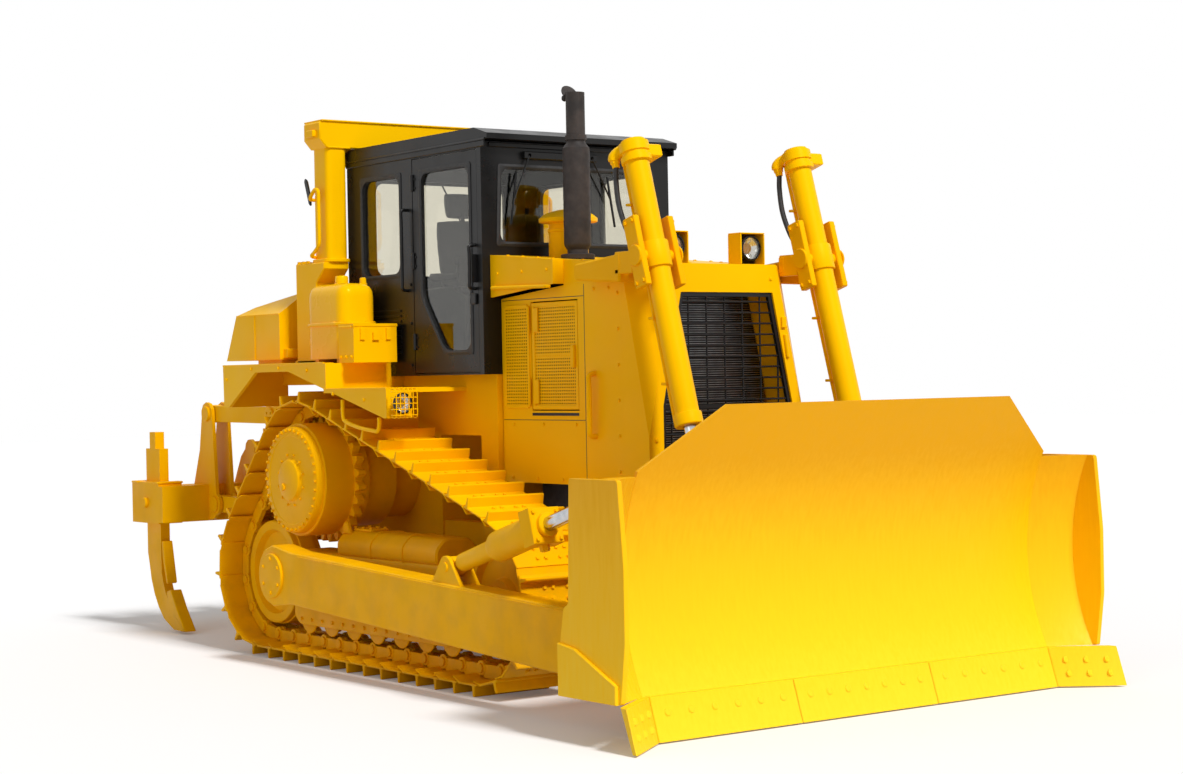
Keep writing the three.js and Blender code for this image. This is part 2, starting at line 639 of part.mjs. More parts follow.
function blade() {
  const [face, back] = moldboard(1422);
  const spill = [[-4392, 1753], [-4371, 1764]];
  const centre = prism("x", [...face, ...spill, ...back], -BLADE.half, BLADE.half);
  const corners = both((s) => prism("y", [
    [s * 1070, 1764], [s * BLADE.half, 1422], [s * 1700, 1422], [s * 1700, 1800], [s * 1070, 1800],
  ], -4500, -4230));
  const lowBeam = [[-4194, EDGE_TOP], [BLADE.back, EDGE_TOP], [BLADE.back, 533], [-4080, 600], [-4128, 420]];
  const topBeam = [[-4105, 1150], [-3972, 1150], [-3972, 1383], [-4186, 1383]];
  const [wingFace, wingBack] = moldboard(BLADE.wingTop);
  const wings = both((s) => {
    const shear = new THREE.Matrix4().set(
      1, 0, 0, 0, -s * WING_SLOPE, 1, 0, WING_SLOPE * BLADE.half, 0, 0, 1, 0, 0, 0, 0, 1);
    const spans = [s * (BLADE.half - 2), s * (BLADE.tip - 10)];
    return [
      prism("x", [...wingFace, ...wingBack], ...spans, shear),
      prism("x", lowBeam, ...spans, shear),
      prism("x", topBeam, ...spans, shear),
    ];
  }).flat();
  const endPlates = both((s) => prism("x", [
    [-4400, BLADE.wingTop], [-4442, 950], [-4442, 560], [-4400, EDGE_TOP], [BLADE.back, EDGE_TOP],
    [BLADE.back, 533], [-3905, 710], [-3946, 724], [-3972, BLADE.wingTop],
  ], s * (BLADE.tip - 30), s * BLADE.tip));
  const ribs = [250, 900, 1200, 1500].flatMap((x) => both((s) => prism("x",
    [[-4065, 540], [-3890, 530], [-3975, 1160], [-4095, 1160], [-4066, 800]], s * x - 12, s * x + 12)));
  const lugs = both((s) => both((t) => prism("x", [
    [-4070, 540], [-3865, 420], [-3790, 520], ...arc(...LIFT.eye, 88, -50, 100, 5),
    [-3900, 760], [-4060, 860],
  ], s * LIFT.x + t * 56, s * LIFT.x + t * 86))).flat();
  const tiltLugs = both((s) => both((t) => prism("x", [
    [-4020, 1170], [-3965, 1170], ...arc(...TILT.front, 62, -50, 60, 3), [-3965, 1380], [-4020, 1380],
  ], s * ARM_MIDDLE + t * 46, s * ARM_MIDDLE + t * 71))).flat();
  return join(cut(centre, corners), prism("x", lowBeam, -BLADE.half, BLADE.half),
    prism("x", topBeam, -BLADE.half, BLADE.half), wings, endPlates, ribs, lugs, tiltLugs);
}

// The three edge sections, and the end bits that flare out past the end plates.
function cuttingEdge() {
  const section = [[-4250, EDGE_TOP - FIT], [-4196, EDGE_TOP - FIT], [-4293, 9], [-4328, 9]];
  const stations = [[-1854, 0.735], [-1520, 0], [1520, 0], [1854, 0.735]];
  return loft(stations.map(([x, slope]) =>
    section.map(([y, z]) => [x, y - slope * (Math.abs(x) - 1520), z])));
}

function pushArm(side) {
  const [inner, outer] = [side * ARM.inner, side * ARM.outer];
  const arm = prism("x", [
    ...arc(TRUNNION.y, TRUNNION.z, 200, -60, 60, 6), [TRUNNION.y, 825], [-312, 787], [-3443, 646],
    [BLADE.back + FIT, 620], [BLADE.back + FIT, 250], [-3280, 278], [-298, 442], [TRUNNION.y, 415],
  ], inner, outer);
  const socket = cross(
    [TRUNNION.y, TRUNNION.z], inner - side * 20, outer - side * 25, TRUNNION.radius + 6, 24,
  );
  const lugs = both((t) => prism("x", [
    [-2380, 680], [-2040, 695], ...arc(...TILT.rear, 68, 30, 150, 4),
  ], side * ARM_MIDDLE + t * 46, side * ARM_MIDDLE + t * 71));
  const brace = prism("z", [
    [side * 1320, -3120], [side * 1320, -3330],
    [side * 1010, BLADE.back + FIT], [side * 860, BLADE.back + FIT],
  ], 400, 510);
  return join(cut(arm, socket), lugs, brace);
}

function tiltCylinder(side) {
  const x = side * ARM_MIDDLE;
  const line = slant(TILT.rear, TILT.front);
  return join(
    cross(TILT.rear, x - 40, x + 40, 62),
    line.bar(x, 20, 100, 36),
    line.bar(x, 90, 480, 58),
    rod([x, ...line.at(430)], [x, ...line.at(500)], 58, 20, 92),
    line.bar(x, 495, 900, 92),
    line.bar(x, 895, 1010, 128, 4),
    line.bar(x, 1000, line.length - 90, 44),
    line.bar(x, line.length - 100, line.length - 30, 36),
    cross(TILT.front, x - 40, x + 40, 58),
  );
}

add("blade", blade());
add("cutting_edge", cuttingEdge());
for (const [name, side] of SIDES) {
  add(`push_arm_${name}`, pushArm(side));
  add(`tilt_cylinder_${name}`, tiltCylinder(side));
}

// ---------------------------------------------------------------- lift cylinders
const liftLine = slant(LIFT.pivot, LIFT.eye);

function liftBarrel(side) {
  const x = side * LIFT.x;
  const at = (dx, station, offset) => [x + dx, ...liftLine.at(station, offset)];
  const { barrel, bore, gland, top } = LIFT;
  const body = join(
    liftLine.bar(x, -top, gland, barrel),
    liftLine.bar(x, -75, 75, barrel + 16),
    liftLine.bar(x, gland - 70, gland, barrel + 12),
    liftLine.bar(x, -top - 70, -top + 40, barrel + 20, 12),
    cross(LIFT.pivot, x - 147, x + 147, 36),
    rod(at(-20, -top - 20, 0), at(-70, -top + 10, 120), 52, 8),
    rod(at(110, -top - 30, -20), at(0, -top - 30, 0), 62, 8),
    rod(at(-10, -top + 20, 104), at(-10, gland - 35, 104), 15, 8),
    rod(at(-10, gland - 40, 104), at(0, gland - 40, 40), 15, 8),
    hose([
      at(-70, -top + 5, 110), at(-78, -top + 130, 140), at(-70, -top + 290, 150),
      at(-60, -top + 430, 120), at(-45, -95, 100), at(-35, -45, 70),
    ], 16, 12),
  );
  return cut(body,
    liftLine.bar(x, -top + 60, gland - 70, bore),
    liftLine.bar(x, gland - 80, gland + 10, LIFT.rod + 6),
  );
}

function liftRod(side) {
  const x = side * LIFT.x;
  const end = liftLine.length;
  return cut(join(
    liftLine.bar(x, end - 1655, end - 40, LIFT.rod, 16),
    liftLine.bar(x, end - 1658, end - 1572, LIFT.bore - 6),
    cross(LIFT.eye, x - 42, x + 42, 80, 16),
  ), cross(LIFT.eye, x - 60, x + 60, 38, 12));
}

function cylinderBracket(side) {
  const flange = [liftLine.at(-235, -52), liftLine.at(190, -52), liftLine.at(190, 60), liftLine.at(-235, 60)];
  const x = (a, b) => [side * a, side * b];
  return cut(join(
    prism("x", flange, ...x(489, 529)),
    prism("x", flange, ...x(743, 783)),
    box(x(489, 783), [-3078, -3038], [2540, 2640]),
    both((s) => box(s < 0 ? x(489, 529) : x(743, 783), [-3230, -3040], [2520, 2650])),
    prism("x", [[-3078, 2640], [-3078, 2470], [-2620, 2500], [-2620, 2600]], ...x(HOOD.half + FIT, 783)),
  ), cross(LIFT.pivot, side * 450, side * 820, 42));
}

for (const [name, side] of SIDES) {
  add(`lift_barrel_${name}`, liftBarrel(side));
  add(`lift_rod_${name}`, liftRod(side), STEEL);
  add(`cylinder_bracket_${name}`, cylinderBracket(side));
}

// ---------------------------------------------------------------- ripper
const beyond = ([y, z]) => [y + RIPPER.reach[0], z + RIPPER.reach[1]];
const forkPlates = (outline, x) =>
  both((s) => both((t) => prism("x", outline, s * x + t * 53, s * x + t * 80))).flat();

function ripperMount() {
  const plates = forkPlates([
    [740, 860], [1290, 860], ...arc(...RIPPER.lowerPin, 95, -60, 60, 4), [1330, 1400],
    ...arc(...RIPPER.upperPin, 95, -30, 110, 5), [740, 1800],
  ], RIPPER.link);
  const cylinderEars = both((s) => prism("x", [
    [740, 790], [1230, 800], ...arc(...RIPPER_LIFT.base, 80, -60, 80, 4), [740, 1060],
  ], s * (RIPPER_LIFT.x + 53), s * (RIPPER_LIFT.x + 80)));
  const pinsAcross = both((s) => [
    cross(RIPPER.lowerPin, s * (RIPPER.link - 78), s * (RIPPER.link + 78), 38, 12),
    cross(RIPPER.upperPin, s * (RIPPER.link - 78), s * (RIPPER.link + 78), 38, 12),
    cross(RIPPER_LIFT.base, s * (RIPPER_LIFT.x - 40), s * (RIPPER_LIFT.x + 78), 34, 12),
  ]).flat();
  return join(box([-698, 698], [700 + FIT, 760], [780, 1800]), plates, cylinderEars, pinsAcross);
}

function twinLinks(pin, tube) {
  const line = slant(pin, beyond(pin));
  const link = (s) => cut(
    join(
      prism("x", [line.at(0, -62), line.at(line.length, -62), line.at(line.length, 62), line.at(0, 62)],
        s * RIPPER.link - 46, s * RIPPER.link + 46),
      cross(pin, s * RIPPER.link - 46, s * RIPPER.link + 46, RIPPER.eye),
      cross(beyond(pin), s * RIPPER.link - 46, s * RIPPER.link + 46, RIPPER.eye),
    ),
    cross(pin, s * RIPPER.link - 60, s * RIPPER.link + 60, 44, 12),
    cross(beyond(pin), s * RIPPER.link - 60, s * RIPPER.link + 60, 44, 12),
  );
  return join(both(link), cross(line.at(tube), -RIPPER.link, RIPPER.link, 45));
}

function ripperBeam() {
  const { half, front, back, low, top, pocketBack, spacing } = RIPPER_BEAM;
  const [lower, upper] = [beyond(RIPPER.lowerPin), beyond(RIPPER.upperPin)];
  const uprights = forkPlates([
    [lower[0], low + 20], [front + 40, low], [back - 40, top - 30], [upper[0] + 130, 1400],
    ...arc(...upper, 92, -20, 190, 6), ...arc(...lower, 88, 110, 260, 5),
  ], RIPPER.link);
  const ears = both((s) => prism("x", [
    [front + 10, top - 30], [2640, top - 30], [2500, 1340], ...arc(...RIPPER_LIFT.eye, 78, 0, 200, 6),
  ], s * (RIPPER_LIFT.x + 53), s * (RIPPER_LIFT.x + 80)));
  const pinsAcross = both((s) => [lower, upper].map((pin) =>
    cross(pin, s * (RIPPER.link - 78), s * (RIPPER.link + 78), 38, 12))).flat();
  const pockets = [-spacing, 0, spacing].map((x) =>
    box([x - 100, x + 100], [2500, pocketBack], [low - 10, top + 30]));
  const slots = [-spacing, 0, spacing].map((x) =>
    box([x - SHANK.half - FIT, x + SHANK.half + FIT], [SHANK.front - FIT, SHANK.back + FIT], [600, 1700]));
  return cut(join(box([-half, half], [front, back], [low, top]), uprights, ears, pinsAcross, pockets), slots);
}

function shank(x) {
  const { half, front, back, top } = SHANK;
  return prism("x", [
    [back, 600], [back, top - 130], [back - 70, top - 130], [back - 70, top], [front + 70, top],
    [front + 70, top - 130], [front, top - 130], [front, 520],
    ...arc(front - 480, 560, 500, -12, -52, 4).map(([y, z]) => [y - 10, z]),
    [2215, 22], [2400, 22], ...arc(front - 420, 600, 640, -52, -8, 4),
  ], x - half, x + half);
}

function ripperCylinders() {
  const line = slant(RIPPER_LIFT.base, RIPPER_LIFT.eye);
  const { barrel, rod: rodRadius, gland, x } = RIPPER_LIFT;
  const barrels = both((s) => cut(
    join(
      line.bar(s * x, 30, 110, 40, 12),
      line.bar(s * x, 95, gland, barrel, 12),
      line.bar(s * x, gland - 60, gland, barrel + 10),
      cross(RIPPER_LIFT.base, s * x - 46, s * x + 46, 66),
    ),
    cross(RIPPER_LIFT.base, s * (x - 46), s * (x + 60), 40, 12),
    line.bar(s * x, 130, gland - 60, barrel - 14),
    line.bar(s * x, gland - 70, gland + 10, rodRadius + 6),
  ));
  const rods = both((s) => cut(
    join(
      line.bar(s * x, line.length - 798, line.length - 30, rodRadius),
      line.bar(s * x, line.length - 800, line.length - 770, barrel - 20),
      cross(RIPPER_LIFT.eye, s * x - 42, s * x + 42, 62),
    ),
    cross(RIPPER_LIFT.eye, s * (x + 10), s * (x + 60), 36, 12),
  ));
  return {
    barrels: join(barrels, cross(RIPPER_LIFT.base, 44 - x, x - 44, 50, 12)),
    rods: join(rods, cross(RIPPER_LIFT.eye, 40 - x, x - 40, 34, 12)),
  };
}

add("ripper_mount", ripperMount());
add("ripper_lower_link", twinLinks(RIPPER.lowerPin, 460));
add("ripper_upper_link", twinLinks(RIPPER.upperPin, 500));
add("ripper_beam", ripperBeam());
for (const [name, x] of [["right", -RIPPER_BEAM.spacing], ["center", 0], ["left", RIPPER_BEAM.spacing]]) {
  add(`ripper_shank_${name}`, shank(x));
}
const ripperLift = ripperCylinders();
add("ripper_barrels", ripperLift.barrels);
add("ripper_rods", ripperLift.rods, STEEL);

export default machine;
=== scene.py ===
# %% [markdown]
# # A track-type bulldozer, surface by surface
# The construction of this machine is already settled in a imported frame: plates, pins, tracks and
# joints, all at their real size. This lesson gives it its looks. Every new piece is a surface worked
# out with numpy, as a profile carried along a path or turned about a line. That keeps each shape a
# short formula that can be read, and it makes the repeated pieces, such as the track shoes, cheap.

import json
import math

import bmesh
import bpy
import numpy as np
from mathutils import Matrix, Vector


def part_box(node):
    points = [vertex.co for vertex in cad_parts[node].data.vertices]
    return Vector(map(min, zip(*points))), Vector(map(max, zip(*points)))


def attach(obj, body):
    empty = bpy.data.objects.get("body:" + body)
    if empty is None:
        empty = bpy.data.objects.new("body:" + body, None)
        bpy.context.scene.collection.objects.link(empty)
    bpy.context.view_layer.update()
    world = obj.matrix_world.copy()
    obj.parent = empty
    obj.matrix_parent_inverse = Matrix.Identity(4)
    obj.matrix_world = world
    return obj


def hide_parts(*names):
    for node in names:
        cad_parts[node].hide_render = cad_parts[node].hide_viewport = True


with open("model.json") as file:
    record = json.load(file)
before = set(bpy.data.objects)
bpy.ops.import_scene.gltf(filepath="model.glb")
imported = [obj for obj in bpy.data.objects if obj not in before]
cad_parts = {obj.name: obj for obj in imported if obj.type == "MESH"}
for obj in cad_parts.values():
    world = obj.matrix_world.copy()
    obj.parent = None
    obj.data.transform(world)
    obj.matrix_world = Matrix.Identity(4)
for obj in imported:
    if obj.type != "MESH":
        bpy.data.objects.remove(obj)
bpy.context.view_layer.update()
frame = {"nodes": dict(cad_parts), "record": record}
NODES = frame["nodes"]
SIDES = (("right", -1), ("left", 1))


def middle(node):
    """The centre of a node's box: half the sum of its lowest and highest corners."""
    low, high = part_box(node)
    return (low + high) / 2


AXLE = middle("final_drive_right")
print("nodes", len(NODES), "sprocket axle at y", round(AXLE.y, 3), "z", round(AXLE.z, 3))

# %% [markdown]
# ## The camera
# A machine this long is shown from its front right corner with a moderately long lens, which keeps
# the near blade from growing too large. The camera's own axes are worked out from an azimuth, an
# elevation and a small roll, which is easier to check than three Euler angles.

# %% Camera
AZIMUTH, ELEVATION, ROLL = (math.radians(a) for a in (-36.21, 0.29, -1.08))
backward = Vector((math.sin(AZIMUTH) * math.cos(ELEVATION), -math.cos(AZIMUTH) * math.cos(ELEVATION),
                   math.sin(ELEVATION)))
level_right = Vector((0, 0, 1)).cross(backward).normalized()
level_up = backward.cross(level_right)
right = level_right * math.cos(ROLL) + level_up * math.sin(ROLL)
up = level_up * math.cos(ROLL) - level_right * math.sin(ROLL)
FOCAL_MM, CAMERA_PLACE = 68.44, (-8.687, -12.78, 1.929)
camera_lens = bpy.data.cameras.new("studio_camera")
camera_lens.lens = FOCAL_MM
camera_lens.sensor_width = 36
camera_lens.clip_end = 200
camera = bpy.data.objects.new("studio_camera", camera_lens)
axes = Matrix((right, up, backward)).transposed().to_4x4()
camera.matrix_world = Matrix.Translation(CAMERA_PLACE) @ axes
bpy.context.scene.collection.objects.link(camera)
bpy.context.scene.camera = camera
print("camera looks along", [round(v, 2) for v in -backward])

# %% [markdown]
# ## Helpers for materials
# Colours are written as the sRGB hex values that a paint chart gives, and one function turns them to
# the linear values that shaders use. One other function adds a node with its settings and links, so
# each material reads as a short list.


# %% Colour and node helpers
def linear(code):
    """An sRGB hex code as linear RGBA: each channel is ((c + 0.055) / 1.055) to the power 2.4."""
    channels = [int(code[i:i + 2], 16) / 255 for i in (1, 3, 5)]
    return [c / 12.92 if c <= 0.04045 else ((c + 0.055) / 1.055) ** 2.4 for c in channels] + [1.0]


def add_node(tree, kind, settings=None, links=None):
    """Adds a node; settings are its properties, sockets or colour stops, links its sockets' sources."""
    made = tree.nodes.new(kind)
    for key, value in (settings or {}).items():
        if key == "stops":
            while len(made.color_ramp.elements) < len(value):
                made.color_ramp.elements.new(0.5)
            for element, (position, code) in zip(made.color_ramp.elements, value):
                element.position = position
                element.color = linear(code)
        elif isinstance(key, str) and hasattr(made, key):
            setattr(made, key, value)
        else:
            made.inputs[key].default_value = value
    for key, source in (links or {}).items():
        tree.links.new(source, made.inputs[key])
    return made


def new_material(name):
    """An empty node material, its tree, and the object's own coordinates in metres."""
    made = bpy.data.materials.new(name)
    made.use_nodes = True
    made.node_tree.nodes.clear()
    place = add_node(made.node_tree, "ShaderNodeTexCoord").outputs["Object"]
    return made, made.node_tree, place


def grains(tree, place, *sizes):
    """One noise for each (millimetres, detail): its blobs are about that many millimetres across."""
    return [add_node(tree, "ShaderNodeTexNoise", {"Scale": 1000 / size, "Detail": detail},
                     {"Vector": place}).outputs["Fac"] for size, detail in sizes]


def finish_surface(made, tree, settings, links):
    """Ends a material in one Principled shader."""
    shader = add_node(tree, "ShaderNodeBsdfPrincipled", settings, links)
    add_node(tree, "ShaderNodeOutputMaterial", links={"Surface": shader.outputs["BSDF"]})
    return made


print("white is", linear("#FFFFFF")[:3])

# %% [markdown]
# ## Machine enamel
# Construction machines are sprayed with a thick two-pack enamel. It is glossy but never mirror-like:
# the coat has an orange-peel texture of a few millimetres, which is drawn here at 9 mm so that it
# shows. Dust dulls it in slow patches, and low down, near the ground, more of it clings. Its weak
# gloss picks up some of the pigment's colour, so the yellow coats have an amber specular tint.


# %% Enamel
def enamel(name, light, dark, dust, peel=0.10, dull=(0.34, 0.52), shine=0.2, glint="#FFC848"):
    """Sprayed enamel: colour drifts between two hex codes over 0.9 m and dust gathers low down."""
    made, tree, place = new_material(name)
    slow, sheen, smudge, peeling = grains(tree, place, (900, 3), (240, 5), (160, 6), (9, 2))
    drift = add_node(tree, "ShaderNodeValToRGB", {"stops": [(0.3, dark), (0.7, light)]},
                     {"Fac": slow}).outputs["Color"]
    height = add_node(tree, "ShaderNodeSeparateXYZ", links={"Vector": place}).outputs["Z"]
    low = add_node(tree, "ShaderNodeMapRange", {"From Min": 1.5, "From Max": 0.0, "To Min": 0.0,
                                                "To Max": 1.0}, {"Value": height}).outputs["Result"]
    patches = add_node(tree, "ShaderNodeMapRange", {"From Min": 0.45, "From Max": 0.75, "To Max": 0.4},
                       {"Value": smudge}).outputs["Result"]
    amount = add_node(tree, "ShaderNodeMath", {"operation": "MULTIPLY"}, {0: low, 1: patches}).outputs[0]
    colour = add_node(tree, "ShaderNodeMix", {"data_type": "RGBA", 7: linear(dust)}, {0: amount, 6: drift})
    rough = add_node(tree, "ShaderNodeMapRange", {"From Min": 0.3, "From Max": 0.7, "To Min": dull[0],
                                                  "To Max": dull[1]}, {"Value": sheen}).outputs["Result"]
    bump = add_node(tree, "ShaderNodeBump", {"Strength": peel, "Distance": 0.002},
                    {"Height": peeling}).outputs["Normal"]
    return finish_surface(made, tree, {"IOR": 1.5, "Specular IOR Level": shine,
                                       "Specular Tint": linear(glint)},
                          {"Base Color": colour.outputs[2], "Roughness": rough, "Normal": bump})


yellow = enamel("chrome_yellow_enamel", "#FFC600", "#FDBD00", "#C9982F")
tank_enamel = enamel("glossy_enamel_on_drawn_tanks", "#FFC600", "#FDBD00", "#C9982F", peel=0.05,
                     dull=(0.20, 0.30), shine=0.25)
casting = enamel("enamel_on_castings", "#FCBE00", "#F3B000", "#BD8B2C", peel=0.25, dull=(0.4, 0.62))
track_paint = enamel("enamel_on_track_links", "#FCC000", "#F0AC00", "#B5842E", peel=0.3, dull=(0.4, 0.65))
black = enamel("semi_gloss_black_enamel", "#121212", "#0C0C0D", "#2A2722", peel=0.06, dull=(0.25, 0.42),
               shine=0.3, glint="#FFFFFF")
print("enamels", [m.name for m in (yellow, tank_enamel, casting, track_paint, black)])

# %% [markdown]
# ## The blade's paint
# Soil scours the lower half of a blade first. The enamel there is thinned to a paler, duller colour
# with scratches that run up and down, and the bolted cutting edge shows the most of it.


# %% Blade enamel
def blade_enamel():
    """Enamel whose colour goes from gold at the top to a paler yellow where soil rubs it."""
    made, tree, place = new_material("scoured_blade_enamel")
    height = add_node(tree, "ShaderNodeSeparateXYZ", links={"Vector": place}).outputs["Z"]
    streaks = add_node(tree, "ShaderNodeMapping", {"Scale": (1.0, 1.0, 0.12)},
                       {"Vector": place}).outputs["Vector"]
    scratch, = grains(tree, streaks, (22, 8))
    shifted = add_node(tree, "ShaderNodeMath", {"operation": "MULTIPLY_ADD", 1: 0.55},
                       {0: scratch, 2: height})
    level = add_node(tree, "ShaderNodeMapRange", {"From Min": 0.25, "From Max": 1.75},
                     {"Value": shifted.outputs[0]})
    wear = [(0.0, "#FFD420"), (0.3, "#FFCA08"), (0.65, "#FDC200"), (1.0, "#F2B000")]
    colour = add_node(tree, "ShaderNodeValToRGB", {"stops": wear},
                      {"Fac": level.outputs["Result"]}).outputs["Color"]
    rough = add_node(tree, "ShaderNodeMapRange", {"From Min": 0.3, "From Max": 0.7, "To Min": 0.34,
                                                  "To Max": 0.6}, {"Value": scratch}).outputs["Result"]
    bump = add_node(tree, "ShaderNodeBump", {"Strength": 0.12, "Distance": 0.002},
                    {"Height": scratch}).outputs["Normal"]
    return finish_surface(made, tree, {"IOR": 1.5, "Specular IOR Level": 0.2},
                          {"Base Color": colour, "Roughness": rough, "Normal": bump})


blade_paint = blade_enamel()
print("blade paint", blade_paint.name)

# %% [markdown]
# ## Bare metals, rubber, plastic, vinyl and glass
# The cylinder rods are ground and hard-chromed, so they are the one truly bright metal. The exhaust
# has a heat-dulled coating. Hoses are fabric-covered rubber, the controls are grained ABS and the
# seat is embossed vinyl. Each differs in its metallic value, its roughness and the size of its grain.


# %% Other finishes
def plain_finish(name, light, dark, grain, strength, settings, dull):
    """A finish whose colour and roughness follow one noise, with the same grain as bump."""
    made, tree, place = new_material(name)
    slow, sheen, fine = grains(tree, place, (grain * 12, 4), (grain * 5, 4), (grain, 2))
    colour = add_node(tree, "ShaderNodeValToRGB", {"stops": [(0.35, dark), (0.65, light)]},
                      {"Fac": slow}).outputs["Color"]
    rough = add_node(tree, "ShaderNodeMapRange", {"From Min": 0.3, "From Max": 0.7, "To Min": dull[0],
                                                  "To Max": dull[1]}, {"Value": sheen}).outputs["Result"]
    bump = add_node(tree, "ShaderNodeBump", {"Strength": strength, "Distance": 0.001},
                    {"Height": fine}).outputs["Normal"]
    return finish_surface(made, tree, settings, {"Base Color": colour, "Roughness": rough, "Normal": bump})


chrome = plain_finish("hard_chromed_steel", "#C9CBCD", "#B4B6B9", 6, 0.03, {"Metallic": 1.0}, (0.12, 0.22))
steel = plain_finish("zinc_plated_steel", "#A3A5A4", "#85878A", 5, 0.1, {"Metallic": 1.0}, (0.3, 0.45))
sooty = plain_finish("heat_dulled_exhaust_coating", "#3A322E", "#241F1D", 8, 0.3,
                     {"Specular IOR Level": 0.3}, (0.5, 0.7))
rubber = plain_finish("braided_hose_rubber", "#1D1D1E", "#111112", 3, 0.4, {"IOR": 1.5}, (0.5, 0.68))
plastic = plain_finish("grained_abs", "#26272A", "#1B1C1E", 3, 0.35, {"IOR": 1.46}, (0.5, 0.65))
vinyl = plain_finish("embossed_vinyl", "#2E2F32", "#212225", 4, 0.5, {"IOR": 1.5, "Sheen Weight": 0.1},
                     (0.42, 0.58))
iron = plain_finish("painted_engine_casting", "#4C4E50", "#35373A", 10, 0.6, {"Metallic": 0.2}, (0.55, 0.75))
silvered = plain_finish("work_lamp_reflector", "#F2F2EE", "#DADAD4", 10, 0.1, {"Metallic": 1.0}, (0.08, 0.15))


def clear_glass(name, tint, roughness):
    """Tempered glass: it refracts, so its colour is only a slight tint, and smears rough it a little."""
    made, tree, place = new_material(name)
    cloud, = grains(tree, place, (300, 5))
    smear = add_node(tree, "ShaderNodeMapRange", {"From Min": 0.45, "From Max": 0.8, "To Min": roughness,
                                                  "To Max": roughness + 0.05},
                     {"Value": cloud}).outputs["Result"]
    return finish_surface(made, tree, {"Base Color": linear(tint), "Transmission Weight": 1.0, "IOR": 1.45},
                          {"Roughness": smear})


glass = clear_glass("tempered_cab_glass", "#E9E6DA", 0.0)
lens_glass = clear_glass("ribbed_lamp_lens", "#F4F6F6", 0.12)
print("finishes", len(bpy.data.materials))

# %% [markdown]
# ## Finishes on the frame's own pieces
# Where a piece of the frame already has its real shape, such as a flat plate, it keeps that shape
# and only takes a finish. The record says which material slot each piece has, so the finish is
# looked up there instead of being listed again.

# %% Dress the frame
SLOT_FINISH = {
    "yellow_paint": yellow, "frame_paint": casting, "blade_paint": blade_paint, "track_paint": track_paint,
    "black_paint": black, "cab_glass": glass, "rod_steel": chrome, "exhaust_metal": sooty,
    "engine_iron": iron, "console_plastic": plastic, "seat_vinyl": vinyl,
}
FINISH_SLOT = {finish: slot for slot, finish in SLOT_FINISH.items()}
FINISH_SLOT.update({tank_enamel: "yellow_paint", silvered: "rod_steel", lens_glass: "cab_glass",
                    rubber: "black_paint"})
for part in frame["record"]["subparts"]:
    node_object = NODES[part["node"]]
    node_object.data.materials.clear()
    node_object.data.materials.append(SLOT_FINISH[part["material_slot"]])
print("dressed", len(NODES), "pieces of the frame")

# %% [markdown]
# ## Shapes from arrays
# A shape here is a pair: an array of points and a list of faces. A skin over matching rings of points
# covers nearly everything on this machine, so bars, plates, turned drums and hoses are all made by
# one function. It also turns the shape the right way out, by the sign of its volume.


# %% Skins over rings
def outward(points, faces):
    """Reverses all faces if the volume, the sum of (a x b) . c / 6 over face fans, is negative."""
    fans = np.array([(f[0], f[k], f[k + 1]) for f in faces for k in range(1, len(f) - 1)])
    a, b, c = (points[fans[:, k]] for k in range(3))
    if np.einsum("ij,ij->", np.cross(a, b), c) < 0:
        return points, [tuple(reversed(f)) for f in faces]
    return points, faces


def skin(rings, closed=False):
    """Quads between neighbouring rings (k, n, 3); the ends are capped unless the rings close up."""
    rings = np.asarray(rings, float)
    count, size = rings.shape[:2]
    row = np.arange(count if closed else count - 1)[:, None]
    column = np.arange(size)[None, :]
    after, beside = (row + 1) % count, (column + 1) % size
    quads = np.stack([row * size + column, row * size + beside,
                      after * size + beside, after * size + column], -1)
    faces = [tuple(q) for q in quads.reshape(-1, 4).tolist()]
    if not closed:
        faces += [tuple(range(size - 1, -1, -1)), tuple(range((count - 1) * size, count * size))]
    return outward(rings.reshape(-1, 3), faces)


def joined(*shapes):
    """Several shapes as one: each one's face numbers are moved on by the points before it."""
    flat = [s for shape in shapes for s in (shape if isinstance(shape, list) else [shape])]
    starts = np.cumsum([0] + [len(points) for points, _ in flat])
    faces = [tuple(i + int(start) for i in f) for start, (_, fs) in zip(starts, flat) for f in fs]
    return np.concatenate([points for points, _ in flat]), faces


def piece(name, shapes, finish, body, replaces=(), crease=32.0):
    """Makes one object of shapes drawn from the sprocket's axle line, and has it ride on a body."""
    points, faces = joined(*shapes)
    mesh = bpy.data.meshes.new(name)
    mesh.from_pydata((points + [0, AXLE.y, 0]).tolist(), [], faces)
    mesh.polygons.foreach_set("use_smooth", np.ones(len(mesh.polygons), bool))
    mesh.set_sharp_from_angle(angle=math.radians(crease))
    mesh.materials.append(finish)
    made = bpy.data.objects.new(name, mesh)
    bpy.context.scene.collection.objects.link(made)
    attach(made, body)
    if replaces:
        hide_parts(*replaces)
    return made


print("a cube has",
      len(skin(np.array([[[0, 0, z], [1, 0, z], [1, 1, z], [0, 1, z]] for z in (0, 1)]))[1]), "faces")

# %% [markdown]
# ## Plates, drums, hoses and bolts
# Flame-cut plate has a small chamfer where it was ground, and that thin bright line along every edge
# is what makes a plate look real. So a plate is four rings: the outline drawn in a little, the
# outline, the outline again and the drawn-in one. Turned parts, hoses and bolts are rings too.


# %% Plates
def inset(outline, by):
    """Moves each corner inward along its bisector: by * (n1 + n2) / (1 + n1 . n2)."""
    p = np.asarray(outline, float)
    x, y = p[:, 0], p[:, 1]
    turn = np.sign(np.sum(x * np.roll(y, -1) - np.roll(x, -1) * y))
    edge = np.roll(p, -1, 0) - p
    edge /= np.maximum(np.linalg.norm(edge, axis=1, keepdims=True), 1e-9)
    after = np.stack([-edge[:, 1], edge[:, 0]], 1) * turn
    before = np.roll(after, 1, 0)
    return p + by * (after + before) / np.maximum(1 + np.sum(after * before, 1, keepdims=True), 0.35)


